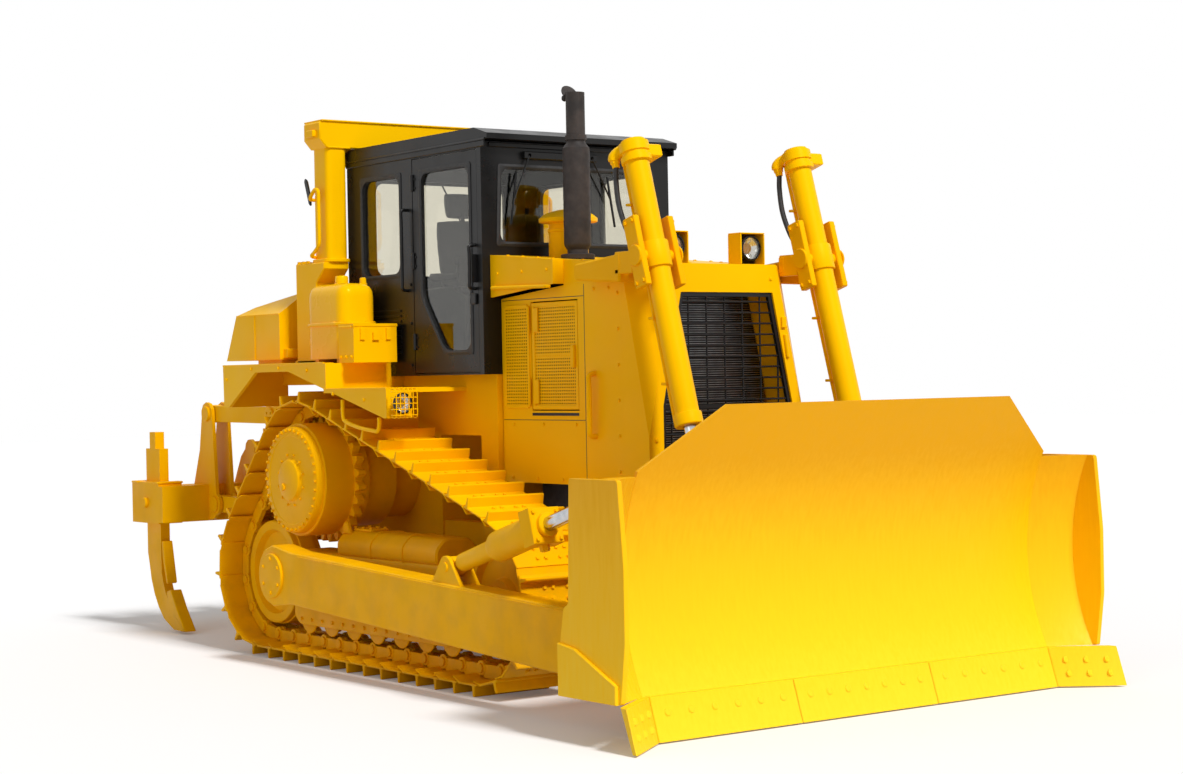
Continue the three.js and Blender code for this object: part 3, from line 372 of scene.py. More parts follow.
ORDER = {"x": (2, 0, 1), "y": (0, 2, 1), "z": (0, 1, 2)}
UP = (0, 0, 1)


def plate(axis, outline, low, high, edge=0.004, warp=None):
    """An outline carried along an axis: (y, z) along x, (x, z) along y, (x, y) along z."""
    low, high = min(low, high), max(low, high)
    edge = min(edge, (high - low) / 3)
    flat = np.asarray(outline, float)
    steps = [(inset(flat, edge), low), (flat, low + edge), (flat, high - edge), (inset(flat, edge), high)]
    rings = np.array([np.column_stack([o, np.full(len(o), h)]) for o, h in steps])[..., ORDER[axis]]
    return skin(warp(rings) if warp else rings)


def oblong(x0, y0, x1, y1):
    """The four corners of a rectangle."""
    return [(x0, y0), (x1, y0), (x1, y1), (x0, y1)]


def block(low, high, edge=0.004):
    """A box between two corners, its vertical outline carried along z."""
    (x0, y0, z0), (x1, y1, z1) = np.minimum(low, high), np.maximum(low, high)
    return plate("z", oblong(x0, y0, x1, y1), z0, z1, edge)


def arc(centre, radius, start, end, steps):
    """Points on a circle: centre + radius * (cos, sin) of evenly spaced degrees."""
    angle = np.radians(np.linspace(start, end, steps + 1))
    return np.column_stack([centre[0] + radius * np.cos(angle), centre[1] + radius * np.sin(angle)])


def rounded(outline, radius, steps=5):
    """Each corner becomes a parabola between two points that lie one radius along its edges."""
    p = np.asarray(outline, float)
    towards = [np.roll(p, shift, 0) - p for shift in (1, -1)]
    a, b = (p + radius * t / np.linalg.norm(t, axis=1, keepdims=True) for t in towards)
    t = np.linspace(0, 1, steps)[None, :, None]
    return ((1 - t) ** 2 * a[:, None] + 2 * t * (1 - t) * p[:, None] + t ** 2 * b[:, None]).reshape(-1, 2)


# %% Turned parts and tubes
def across(direction):
    """Two unit vectors square to a direction and to each other."""
    d = np.asarray(direction, float) / np.linalg.norm(direction)
    helper = np.eye(3)[np.argmin(np.abs(d))]
    u = np.cross(helper, d)
    u /= np.linalg.norm(u)
    return d, u, np.cross(d, u)


def turned(profile, start, direction, sides=32, closed=False):
    """A profile of (distance along, radius) turned about the line from start in a direction."""
    d, u, v = across(direction)
    angle = np.linspace(0, 2 * np.pi, sides, endpoint=False)
    circle = np.cos(angle)[:, None] * u + np.sin(angle)[:, None] * v
    along, radius = np.asarray(profile, float).T
    return skin(np.asarray(start, float) + along[:, None, None] * d + radius[:, None, None] * circle,
                closed)


def bar(start, end, radius, sides=24, edge=0.003):
    """A round bar with chamfered ends."""
    start, end = np.asarray(start, float), np.asarray(end, float)
    length = np.linalg.norm(end - start)
    edge = min(edge, length / 3)
    return turned([(0, radius - edge), (edge, radius), (length - edge, radius), (length, radius - edge)],
                  start, end - start, sides)


def smooth_path(points, steps=8):
    """A Catmull-Rom curve: cubic blends of each four neighbouring points, through the middle two."""
    p = np.asarray(points, float)
    p = np.concatenate([[2 * p[0] - p[1]], p, [2 * p[-1] - p[-2]]])
    t = np.linspace(0, 1, steps, endpoint=False)[:, None]
    parts = [0.5 * (2 * b + (c - a) * t + (2 * a - 5 * b + 4 * c - d) * t ** 2
                    + (3 * b - a - 3 * c + d) * t ** 3) for a, b, c, d in zip(p, p[1:], p[2:], p[3:])]
    return np.concatenate(parts + [p[-2:-1]])


def tube(points, radius, sides=12, steps=8):
    """A circle carried along a smooth path, kept square to it by a fixed helper direction."""
    path = smooth_path(points, steps) if steps else np.asarray(points, float)
    tangent = np.gradient(path, axis=0)
    tangent /= np.linalg.norm(tangent, axis=1, keepdims=True)
    helper = np.eye(3)[np.argmin(np.abs(tangent).max(0))]
    u = np.cross(helper, tangent)
    u /= np.linalg.norm(u, axis=1, keepdims=True)
    v = np.cross(tangent, u)
    angle = np.linspace(0, 2 * np.pi, sides, endpoint=False)[None, :, None]
    return skin(path[:, None] + radius * (np.cos(angle) * u[:, None] + np.sin(angle) * v[:, None]))


def bolts(places, out, radius=0.012, height=0.010):
    """Hexagon heads on washers at many places at once: one head's rings plus every place."""
    d, u, v = across(out)
    angle = np.radians(60 * np.arange(6))
    circle = np.cos(angle)[:, None] * u + np.sin(angle)[:, None] * v
    profile = np.array([(-0.004, 1.3), (0.002, 1.3), (0.002, 1.0), (height * 0.85, 1.0), (height, 0.82)])
    rings = profile[:, 0, None, None] * d + profile[:, 1, None, None] * radius * circle
    points, faces = skin(rings)
    places = np.atleast_2d(np.asarray(places, float))
    every = (places[:, None] + points[None]).reshape(-1, 3)
    shifts = np.arange(len(places)) * len(points)
    return every, [tuple(i + int(s) for i in f) for s in shifts for f in faces]


print("a bolt has", len(bolts([[0, 0, 0]], UP)[1]), "faces")

# %% [markdown]
# ## The tracks
# A crawler track is a chain: forged links with bushings and pins, and a bolted shoe on each link with
# one tall grouser. Its pins follow a closed line round three wheels, so that line is worked out first
# from the wheels' places. Every link is then the same small shape, placed by arrays.

# %% The pin line
# Each wheel's y, z and radius at the pins: front idler, rear idler and sprocket.
WHEELS = np.array([(-2.22, 0.580, 0.435), (0.65, 0.580, 0.435), (0.0, 1.256, 0.468)])
SHOES = 41
TRACK_X, SHOE_HALF = 0.99, 0.28


def pin_line(wheels, count):
    """Points at equal steps along the belt: its straight runs touch two circles, joined by arcs."""
    after = np.roll(wheels, -1, 0)
    span = after[:, :2] - wheels[:, :2]
    length = np.linalg.norm(span, axis=1)
    out = np.arctan2(span[:, 1], span[:, 0]) - np.arccos((wheels[:, 2] - after[:, 2]) / length)
    path = []
    for wheel, angle, turn in zip(after, out, (np.roll(out, -1) - out) % (2 * np.pi)):
        around = angle + turn * np.linspace(0, 1, 60)
        path.append(wheel[:2] + wheel[2] * np.column_stack([np.cos(around), np.sin(around)]))
    start = wheels[0, :2] + wheels[0, 2] * np.array([np.cos(out[0]), np.sin(out[0])])
    path = np.concatenate([[start], *path])
    run = np.concatenate([[0], np.cumsum(np.linalg.norm(np.diff(path, axis=0), axis=1))])
    places = np.linspace(0, run[-1], count, endpoint=False)
    return np.column_stack([np.interp(places, run, path[:, k]) for k in range(2)])


PINS = pin_line(WHEELS, SHOES)
CHORD = np.roll(PINS, -1, 0) - PINS
PITCH = float(np.linalg.norm(CHORD, axis=1).mean())
print("pitch", round(PITCH * 1000, 1), "mm over", SHOES, "shoes")


# %% One link and its shoe
def on_links(shape):
    """Repeats a shape at every link: (x, s, h) becomes pin + s * along + h * outward."""
    points, faces = shape
    along = CHORD / np.linalg.norm(CHORD, axis=1, keepdims=True)
    out = np.column_stack([along[:, 1], -along[:, 0]])
    yz = PINS[:, None] + points[None, :, 1:2] * along[:, None] + points[None, :, 2:3] * out[:, None]
    x = np.broadcast_to(points[None, :, :1], yz[..., :1].shape)
    every = np.concatenate([x, yz], -1).reshape(-1, 3)
    every, first = outward(every, [tuple(i + k * len(points) for i in f) for k in range(len(PINS))
                                   for f in faces])
    return every, first


def track_shoe(x):
    """A plate with one tapered grouser and a lip that tucks under the next plate, as its (s, h) outline."""
    outline = [(0.006, 0.066), (PITCH - 0.020, 0.066), (PITCH + 0.008, 0.056), (PITCH + 0.050, 0.036),
               (PITCH + 0.054, 0.043), (PITCH + 0.010, 0.064), (PITCH - 0.003, 0.072),
               (PITCH - 0.003, 0.080), (0.064, 0.080), (0.055, 0.084), (0.0495, 0.140), (0.044, 0.145),
               (0.036, 0.145), (0.031, 0.140), (0.026, 0.084), (0.018, 0.080), (0.006, 0.078)]
    return plate("x", outline, x - SHOE_HALF, x + SHOE_HALF, 0.004)


def link_rail(x, side):
    """A forged link: a waisted bar with a round eye at each pin, one eye stepped inward."""
    bar_outline = np.concatenate([arc((0.052, 0.018), 0.046, 250, 110, 6),
                                  arc((PITCH - 0.052, 0.018), 0.046, 70, -70, 6)])
    eye = arc((0, 0), 0.047, 0, 345, 23)
    return [plate("x", bar_outline, x - 0.020, x + 0.020, 0.003),
            plate("x", eye, x + side * 0.001, x + side * 0.024, 0.003),
            plate("x", eye + [PITCH, 0], x - side * 0.024, x - side * 0.001, 0.003)]


def track(side):
    """Every shoe, link, pin and bolt of one track, as one joined shape."""
    x = side * TRACK_X
    lone = [track_shoe(x), bar((x - 0.118, 0, 0), (x + 0.118, 0, 0), 0.030, 16)]
    for s in (-1, 1):
        lone += link_rail(x + s * 0.081, s)
        lone.append(bolts([(x + s * dx, at, 0.080) for dx in (0.052, 0.112) for at in (0.090, 0.160)], UP,
                          0.013, 0.012))
    return on_links(joined(lone))


for name, side in SIDES:
    made = piece(f"track_shoes_and_links_{name}", [track(side)], track_paint, "tractor", [f"track_{name}"])
    print(made.name, len(made.data.polygons), "faces")

# %% [markdown]
# ## Final drives and sprockets
# The sprocket sits high, clear of the mud, and its planetary drum stands out of the track. The drum
# is turned from one profile. The toothed rim is an outline whose radius swings with the angle, and
# three rings of bolts hold the rim and the cover.


# %% Final drives
TEETH = 27


def sprocket(x):
    """Radius = root + (tip - root) * a softened square wave of the angle, with one wave per tooth."""
    angle = np.linspace(0, 2 * np.pi, TEETH * 8, endpoint=False)
    wave = np.clip(0.5 + 0.9 * np.cos(TEETH * angle), 0, 1)
    radius = 0.388 + 0.050 * wave
    outline = np.column_stack([radius * np.cos(angle), AXLE.z + radius * np.sin(angle)])
    return plate("x", outline, x - 0.032, x + 0.032, 0.004)


def ring_of(count, radius, x, centre, start=0.0):
    """Evenly spaced points on a circle that faces along x."""
    angle = np.radians(start) + 2 * np.pi * np.arange(count) / count
    return np.column_stack([np.full(count, x), centre[0] + radius * np.cos(angle),
                            centre[1] + radius * np.sin(angle)])


def final_drive(side):
    profile = [(0.4355, 0.286), (0.66, 0.290), (0.662, 0.338), (0.90, 0.340), (0.903, 0.383), (1.05, 0.385),
               (1.236, 0.385), (1.240, 0.381), (1.241, 0.366), (1.285, 0.362), (1.294, 0.356),
               (1.298, 0.345), (1.300, 0.305), (1.296, 0.300), (1.296, 0.150), (1.302, 0.144),
               (1.318, 0.136), (1.3245, 0.120), (1.325, 0.03)]
    centre = (0.0, AXLE.z)
    hub = turned(profile, (0, *centre), (side, 0, 0), 96)
    return [hub, sprocket(side * TRACK_X), bolts(ring_of(36, 0.340, side * 1.298, centre), (side, 0, 0),
                                                 0.0105, 0.014),
            bolts(ring_of(12, 0.175, side * 1.296, centre, 15), (side, 0, 0), 0.009, 0.012),
            bolts(ring_of(27, 0.372, side * 1.022, centre), (side, 0, 0), 0.011, 0.012),
            turned([(1.32, 0.026), (1.336, 0.026), (1.338, 0.020)],
                   (0, 0.06, AXLE.z - 0.05), (side, 0, 0), 6)]


for name, side in SIDES:
    made = piece(f"final_drive_and_sprocket_{name}", final_drive(side), casting, "tractor",
                 [f"final_drive_{name}"])
    print(made.name, len(made.data.polygons), "faces")

# %% [markdown]
# ## Roller frames
# Between the two runs of track lie a box girder, its guard plates, seven rollers and an idler at each
# end. Rollers have two flanges that keep the chain on them, so their profile is turned in one piece.


# %% Roller frames
def double_flange_roller(x, y, z):
    tread, flange = 0.099, 0.112
    half = [(-0.145, 0.04), (-0.118, 0.045), (-0.116, flange - 0.006), (-0.110, flange),
            (-0.104, flange - 0.004), (-0.103, tread - 0.016), (-0.060, tread - 0.016), (-0.058, 0.070)]
    return turned(half + [(-a, r) for a, r in half[::-1]], (x, y, z + 0.02), (1, 0, 0), 32)


def idler(x, y, z):
    """A cast disc with a raised centre flange between two treads, a dished web and a hub."""
    half = [(0.145, 0.055), (0.142, 0.070), (0.112, 0.076), (0.108, 0.120), (0.060, 0.135), (0.055, 0.280),
            (0.100, 0.300), (0.104, 0.355), (0.100, 0.362), (0.060, 0.364), (0.055, 0.372)]
    profile = [(-a, r) for a, r in half] + half[::-1]
    return turned(profile, (x, y, z), (1, 0, 0), 72)


def roller_frame(side):
    x = side * TRACK_X
    y0, y1 = WHEELS[0, 0], WHEELS[1, 0]
    girder = plate("y", rounded(oblong(x - 0.16, 0.43, x + 0.16, 0.76), 0.03), -1.70, 0.25, 0.01)
    guard = rounded([(-1.78, 0.30), (-1.72, 0.25), (0.18, 0.25), (0.25, 0.30), (0.25, 0.44),
                     (-1.78, 0.44)], 0.03)
    shapes = [girder, idler(x, y0, 0.58), idler(x, y1, 0.58)]
    for s in (-1, 1):
        shapes += [plate("x", guard, x + s * 0.140, x + s * 0.160),
                   plate("x", rounded([(y0 - 0.10, 0.52), (-1.65, 0.50), (-1.65, 0.66), (y0 - 0.10, 0.64)],
                                      0.02), x + s * 0.147, x + s * 0.172),
                   plate("x", rounded([(0.20, 0.50), (y1 + 0.08, 0.52), (y1 + 0.08, 0.64), (0.20, 0.66)],
                                      0.02), x + s * 0.147, x + s * 0.172),
                   bolts([(x + s * 0.160, y, z) for y in np.linspace(-1.68, 0.15, 14) for z in (0.29, 0.40)],
                         (s, 0, 0), 0.012, 0.012)]
    shapes += [double_flange_roller(x, y, 0.275) for y in np.linspace(-1.69, 0.13, 7)]
    shapes.append(turned([(1.14, 0.125), (1.285, 0.125), (1.295, 0.118), (1.296, 0.075), (1.440, 0.075),
                          (1.445, 0.070)], (0, -0.05, 0.62), (side, 0, 0), 48))
    housing = rounded([(x - 0.16, 0.750), (x + 0.16, 0.750), (x + 0.16, 0.850), (x + 0.09, 0.920),
                       (x - 0.09, 0.920), (x - 0.16, 0.850)], 0.03)
    shapes.append(plate("y", housing, -1.60, -0.35, 0.012))
    shapes.append(plate("z", rounded(oblong(x - 0.075, -0.66, x + 0.075, -0.40), 0.03), 0.918, 0.934))
    shapes.append(bolts([(x + dx, y, 0.934) for dx in (-0.055, 0.055) for y in (-0.63, -0.53, -0.43)], UP,
                        0.012, 0.012))
    ear = np.concatenate([[(-0.47, 0.90)], arc((-0.41, 0.945), 0.035, 150, 0, 8), [(-0.37, 0.90)]])
    shapes.append(plate("x", ear, x + side * 0.095, x + side * 0.125, 0.006))
    shapes += [plate("y", inset(housing, -0.008), y, y + 0.02, 0.004) for y in (-1.20, -0.80)]
    return shapes


for name, side in SIDES:
    made = piece(f"roller_frame_and_wheels_{name}", roller_frame(side), casting, "tractor",
                 [f"roller_frame_{name}"])
    print(made.name, len(made.data.polygons), "faces")

# %% [markdown]
# ## The blade
# The mouldboard is rolled to one radius, so soil curls forward instead of spilling over. Its wings
# turn forward by 31 degrees, which is a shear of the same section. Behind it are box beams, ribs and
# lugs. The cutting edge is made of bolted sections that can be turned or replaced when they wear.

# %% The mouldboard and its frame
TRUNNION = (-0.05, 0.62)
LIFT_X, LIFT_EYE = 0.636, (-3.82, 0.62)
TILT_X, TILT_BASE, TILT_EYE = 1.395, (-2.20, 0.80), (-3.90, 1.31)
CURVE = {"y": -5.340, "z": 0.832, "radius": 1.265, "skin": 0.024}
BLADE_HALF, BLADE_TIP, WING_TOP, BLADE_TOP = 1.544, 1.816, 1.393, 1.764
EDGE_TOP = 0.240
WING_SLOPE = math.tan(math.radians(31))
BLADE_BACK = -3.871


def face_y(z, back=0.0):
    """The rolled plate's y at a height: the front of a circle of the rolling radius."""
    return CURVE["y"] + np.sqrt((CURVE["radius"] + back) ** 2 - (np.asarray(z) - CURVE["z"]) ** 2)


def board(top, low=EDGE_TOP, steps=28):
    """The rolled plate's section: up its face, then down its back."""
    z = np.linspace(low, top, steps)
    return np.concatenate([np.column_stack([face_y(z), z]),
                           np.column_stack([face_y(z, CURVE["skin"]), z])[::-1]])


def wing_shear(side):
    """Moves a point forward by its distance past the wing's bend times the wing's slope."""
    def move(rings):
        moved = rings.copy()
        moved[..., 1] -= WING_SLOPE * np.maximum(side * rings[..., 0] - BLADE_HALF, 0)
        return moved
    return move


def centre_board():
    """The middle plate, its top corners cut off: each height's half width narrows above the wings."""
    z = np.concatenate([np.linspace(EDGE_TOP, 1.422, 26), np.linspace(1.43, BLADE_TOP, 10)])
    half = np.where(z < 1.422, BLADE_HALF,
                    BLADE_HALF - (z - 1.422) * (BLADE_HALF - 1.07) / (BLADE_TOP - 1.422))
    straight = face_y(1.422) + (z - 1.422) * (-4.392 - face_y(1.422)) / (1.753 - 1.422)
    y = np.where(z < 1.422, face_y(np.minimum(z, 1.422)), straight)
    rings = np.array([[(-h, a, k), (h, a, k), (h, a + CURVE["skin"], k), (-h, a + CURVE["skin"], k)]
                      for h, a, k in zip(half, y, z)])
    return skin(rings)


def blade_frame():
    shapes = [centre_board()]
    low_beam = [(-4.194, EDGE_TOP), (BLADE_BACK, EDGE_TOP), (BLADE_BACK, 0.533), (-4.080, 0.600),
                (-4.128, 0.420)]
    top_beam = [(-4.105, 1.150), (-3.972, 1.150), (-3.972, 1.383), (-4.186, 1.383)]
    shapes += [plate("x", beam, -BLADE_HALF, BLADE_HALF) for beam in (low_beam, top_beam)]
    for _, side in SIDES:
        span = (side * (BLADE_HALF - 0.002), side * (BLADE_TIP - 0.01))
        shapes += [plate("x", outline, *span, warp=wing_shear(side))
                   for outline in (board(WING_TOP), low_beam, top_beam)]
        end = rounded([(-4.400, WING_TOP), (-4.442, 0.95), (-4.442, 0.56), (-4.400, EDGE_TOP),
                       (BLADE_BACK, EDGE_TOP), (BLADE_BACK, 0.533), (-3.905, 0.710), (-3.946, 0.724),
                       (-3.972, WING_TOP)], 0.02, 4)
        shapes.append(plate("x", end, side * (BLADE_TIP - 0.03), side * BLADE_TIP, 0.003))
        shapes.append(plate("x", [(-4.38, EDGE_TOP), (BLADE_BACK, EDGE_TOP), (BLADE_BACK, 0.52),
                                  (-4.02, 0.50), (-4.38, 0.34)], side * (BLADE_TIP - 0.002),
                            side * (BLADE_TIP + 0.022), 0.004))
        for x in (0.25, 0.90, 1.20, 1.50):
            shapes.append(plate("x", [(-4.065, 0.54), (-3.89, 0.53), (-3.975, 1.16), (-4.095, 1.16),
                                      (-4.066, 0.80)], side * x - 0.012, side * x + 0.012, 0.002))
        for s in (-1, 1):
            lug = np.concatenate([[(-4.07, 0.54), (-3.865, 0.42), (-3.79, 0.52)],
                                  arc(LIFT_EYE, 0.088, -50, 100, 10), [(-3.90, 0.76), (-4.06, 0.86)]])
            shapes.append(plate("x", lug, side * LIFT_X + s * 0.056, side * LIFT_X + s * 0.086))
            fork = np.concatenate([[(-4.02, 1.17), (-3.965, 1.17)], arc(TILT_EYE, 0.062, -50, 60, 8),
                                   [(-3.965, 1.38), (-4.02, 1.38)]])
            shapes.append(plate("x", fork, side * TILT_X + s * 0.046, side * TILT_X + s * 0.071))
        shapes += [bar((side * LIFT_X - 0.094, *LIFT_EYE), (side * LIFT_X + 0.094, *LIFT_EYE), 0.030, 24),
                   bar((side * TILT_X - 0.080, *TILT_EYE), (side * TILT_X + 0.080, *TILT_EYE), 0.030, 24)]
    return shapes


made = piece("blade_mouldboard", blade_frame(), blade_paint, "blade_assembly", ["blade"], 26)
print(made.name, len(made.data.polygons), "faces")

# %% The bolted cutting edge
EDGE_SECTION = np.array([(-4.250, EDGE_TOP - 0.0003), (-4.196, EDGE_TOP - 0.0003), (-4.293, 0.009),
                         (-4.328, 0.009)])
EDGE_END, EDGE_TIP = 1.52, 1.854
EDGE_GAP = 0.004


def edge_bar(x0, x1, slope=0.0, past=0.0):
    """One bolted length of edge: the section, drawn forward by slope times its distance past a bend."""
    stations = np.array([x0, x0 + 0.004, x1 - 0.004, x1])
    rings = []
    for k, x in enumerate(stations):
        outline = inset(EDGE_SECTION, 0.004) if k in (0, 3) else EDGE_SECTION
        forward = slope * max(abs(x) - past, 0)
        rings.append([(x, y - forward, z) for y, z in outline])
    return skin(rings)


def edge_bolts(xs, z, slope=0.0, past=0.0):
    """Round plough-bolt heads, which sit on the edge's sloping front face."""
    (y0, z0), (y1, z1) = EDGE_SECTION[0], EDGE_SECTION[3]
    normal = np.array([0, -(z0 - z1), y0 - y1])
    shapes = []
    for x in xs:
        y = y0 + (z - z0) * (y1 - y0) / (z1 - z0) - slope * max(abs(x) - past, 0)
        shapes.append(turned([(-0.005, 0.021), (0.003, 0.021), (0.006, 0.017), (0.007, 0.006)], (x, y, z),
                             normal, 16))
    return shapes


edge = [edge_bar(-EDGE_END + EDGE_GAP, -0.52), edge_bar(-0.516, 0.516), edge_bar(0.52, EDGE_END - EDGE_GAP)]
edge += edge_bolts(np.concatenate([np.linspace(-1.42, -0.62, 6), np.linspace(-0.42, 0.42, 7),
                                   np.linspace(0.62, 1.42, 6)]), 0.155)
END_SLOPE = 0.735
for _, side in SIDES:
    low, high = sorted((side * EDGE_END, side * EDGE_TIP))
    edge.append(edge_bar(low, high, END_SLOPE, EDGE_END))
    for z in (0.085, 0.165):
        edge += edge_bolts([side * x for x in (1.59, 1.69, 1.79)], z, END_SLOPE, EDGE_END)
made = piece("blade_cutting_edge_sections", edge, blade_paint, "blade_assembly", ["cutting_edge"])
print(made.name, len(made.data.polygons), "faces")

# %% [markdown]
# ## Push arms and tilt cylinders
# Two long box arms push the blade from the track frames. A hydraulic cylinder on each sets the
# blade's pitch. A cylinder is a stack of turned parts along one line: eye, neck, tube, square head
# block, chromed rod and eye again, so one list of stations draws each of them.


# %% Push arms
def push_arm(side):
    inner, outer = side * 1.31, side * 1.48
    outline = np.concatenate([arc(TRUNNION, 0.2, -60, 60, 14),
                              [(-0.05, 0.825), (-0.312, 0.787), (-3.443, 0.646),
                               (BLADE_BACK + 0.0003, 0.620), (BLADE_BACK + 0.0003, 0.250), (-3.28, 0.278),
                               (-0.298, 0.442), (-0.05, 0.415)]])
    shapes = [plate("x", outline, inner, outer, 0.008)]
    lug = np.concatenate([[(-2.38, 0.680), (-2.04, 0.695)], arc(TILT_BASE, 0.068, 30, 150, 8)])
    for s in (-1, 1):
        shapes.append(plate("x", lug, side * TILT_X + s * 0.046, side * TILT_X + s * 0.071))
    shapes.append(bar((side * TILT_X - 0.08, *TILT_BASE), (side * TILT_X + 0.08, *TILT_BASE), 0.030, 24))
    shapes.append(plate("z", [(side * 1.32, -3.12), (side * 1.32, -3.33), (side * 1.01, BLADE_BACK + 0.0003),
                              (side * 0.86, BLADE_BACK + 0.0003)], 0.40, 0.51))
    shapes.append(turned([(1.478, 0.150), (1.492, 0.150), (1.497, 0.145), (1.498, 0.060)], (0, *TRUNNION),
                         (side, 0, 0), 48))
    shapes.append(bolts(ring_of(6, 0.115, side * 1.497, TRUNNION, 30), (side, 0, 0), 0.012, 0.010))
    weld = np.array([(side * 1.4805, y, 0.646 + 0.045 * (y + 3.443) - 0.018)
                     for y in np.linspace(-3.6, -0.4, 30)])
    shapes.append(tube(weld, 0.005, 6, 0))
    shapes.append(bolts([(side * 1.48, y, z) for y in (-3.70, -3.62) for z in (0.33, 0.54)], (side, 0, 0),
                        0.014, 0.012))
    return shapes


for name, side in SIDES:
    piece(f"push_arm_plates_{name}", push_arm(side), casting, "blade_assembly", [f"push_arm_{name}"])


# %% Tilt cylinders
def along_line(start, end):
    """Unit vector and length of a line in the (y, z) plane, and a function from station to point."""
    start, end = np.asarray(start, float), np.asarray(end, float)
    length = float(np.linalg.norm(end - start))
    d = (end - start) / length
    return d, length, lambda station, offset=0.0: start + d * station + np.array([-d[1], d[0]]) * offset


def square_head(x, at, direction, station, depth, half, edge=0.006):
    """A square block across a line: its outline lies in the plane square to the line."""
    d, u, v = across((0, *direction))
    corners = np.array([u + v, v - u, -u - v, u - v]) * half
    middle_point = np.array([x, *at(station)])
    rings = [middle_point + corners * k + d * a for k, a in ((1 - edge / half, 0), (1, edge),
                                                             (1, depth - edge), (1 - edge / half, depth))]
    return skin(rings), d, u, v


def tilt_cylinder(side):
    x = side * TILT_X
    d, length, at = along_line(TILT_BASE, TILT_EYE)
    base = (x, *at(0))
    tube_profile = [(0.02, 0.034), (0.095, 0.036), (0.10, 0.056), (0.43, 0.058), (0.50, 0.090),
                    (0.505, 0.092), (0.895, 0.092)]
    head, axis, u, v = square_head(x, at, d, 0.895, 0.115, 0.105)
    corner = [np.array([x, *at(1.01)]) + (a * u + b * v) * 0.080 for a in (-1, 1) for b in (-1, 1)]
    port = np.array([x, *at(0.95, 0.09)])
    shapes = [turned(tube_profile, base, (0, *d), 40), head, bolts(corner, axis, 0.013, 0.014),
              turned([(0, 0.03), (0.045, 0.03), (0.05, 0.026)], port, (0, -d[1], d[0]), 6),
              turned([(1.005, 0.070), (1.035, 0.070), (1.04, 0.064)], base, (0, *d), 40),
              turned([(length - 0.10, 0.036), (length - 0.03, 0.036)], base, (0, *d), 24),
              bar((x - 0.04, *at(0)), (x + 0.04, *at(0)), 0.062, 32),
              bar((x - 0.04, *at(length)), (x + 0.04, *at(length)), 0.058, 32)]
    shine = [turned([(1.03, 0.044), (length - 0.09, 0.044)], base, (0, *d), 32)]
    hose = tube([port, port + [0, 0.02, 0.06], port + [-side * 0.05, 0.20, 0.10],
                 port + [-side * 0.14, 0.50, 0.02], port + [-side * 0.20, 0.80, -0.12]], 0.013, 10)
    return shapes, shine, hose


for name, side in SIDES:
    shapes, shine, hose = tilt_cylinder(side)
    piece(f"tilt_cylinder_body_{name}", shapes, casting, "blade_assembly", [f"tilt_cylinder_{name}"])
    piece(f"tilt_cylinder_rod_{name}", shine, chrome, "blade_assembly")
    piece(f"tilt_cylinder_hose_{name}", [hose], rubber, "blade_assembly")
print("arms and tilt cylinders on both sides")

# %% [markdown]
# ## Lift cylinders
# Two cylinders hang from trunnions beside the radiator and lift the blade. Each barrel is a hollow
# tube with a stepped cap, a trunnion collar and a gland, so its profile runs down the outside and
# back up the bore. A steel pipe feeds the gland end and a hose, which gives as the barrel swings,
# feeds the cap.

# %% Barrels
LIFT_PIVOT = (-3.24, 2.62)
LIFT_D, LIFT_LENGTH, lift_at = along_line(LIFT_PIVOT, LIFT_EYE)
BARREL_PROFILE = [(-0.720, 0.060), (-0.716, 0.072), (-0.700, 0.076), (-0.698, 0.090), (-0.640, 0.091),
                  (-0.637, 0.080), (-0.615, 0.080), (-0.612, 0.092), (-0.580, 0.092), (-0.577, 0.072),
                  (-0.080, 0.072), (-0.078, 0.086), (-0.073, 0.088), (0.073, 0.088), (0.078, 0.086),
                  (0.080, 0.072), (0.955, 0.072), (0.958, 0.082), (0.964, 0.084), (1.024, 0.084),
                  (1.030, 0.080), (1.030, 0.042), (0.960, 0.042), (0.958, 0.052), (-0.58, 0.052)]


def hollow_ring(centre, outer, inner, half, direction=(1, 0, 0), sides=40):
    """A short tube: a small rectangle with chamfers, turned about a line and closed on itself."""
    edge = 0.004
    profile = [(-half, outer - edge), (edge - half, outer), (half - edge, outer), (half, outer - edge),
               (half, inner), (-half, inner)]
    return turned(profile, centre, direction, sides, closed=True)


def lift_barrel(x):
    def at(dx, station, offset):
        return np.array([x + dx, *lift_at(station, offset)])
    shapes = [turned(BARREL_PROFILE, (x, *lift_at(0)), (0, *LIFT_D), 48),
              *(bar((x + s * 0.060, *LIFT_PIVOT), (x + s * 0.147, *LIFT_PIVOT), 0.036, 32) for s in (-1, 1))]
    points, faces = square_head(x + 0.02, lift_at, LIFT_D, -0.675, 0.075, 0.070)[0]
    shapes.append((points + [0.055, 0, 0], faces))
    shapes.append(bolts([at(0.145, -0.66, o) for o in (-0.045, 0.045)]
                        + [at(0.145, -0.615, o) for o in (-0.045, 0.045)], (1, 0, 0), 0.009, 0.010))
    shapes.append(tube([at(-0.02, -0.67, 0.03), at(-0.045, -0.675, 0.075), at(-0.068, -0.655, 0.112),
                        at(-0.070, -0.63, 0.118)], 0.036, 20))
    shapes.append(turned([(0, 0.030), (0.03, 0.030), (0.032, 0.024), (0.055, 0.022)],
                         at(-0.070, -0.64, 0.114), (0, *LIFT_D), 6))
    shapes.append(tube([at(-0.01, -0.66, 0.05), at(-0.01, -0.655, 0.095), at(-0.01, -0.62, 0.104),
                        at(-0.01, 0.1, 0.104), at(-0.01, 0.93, 0.104), at(-0.01, 0.985, 0.100),
                        at(-0.01, 0.995, 0.06)], 0.013, 14))
    shapes += [block(at(-0.035, s, 0.085) - 0.012, at(0.015, s, 0.112) + 0.012, 0.003)
               for s in (-0.35, 0.35, 0.75)]
    return shapes


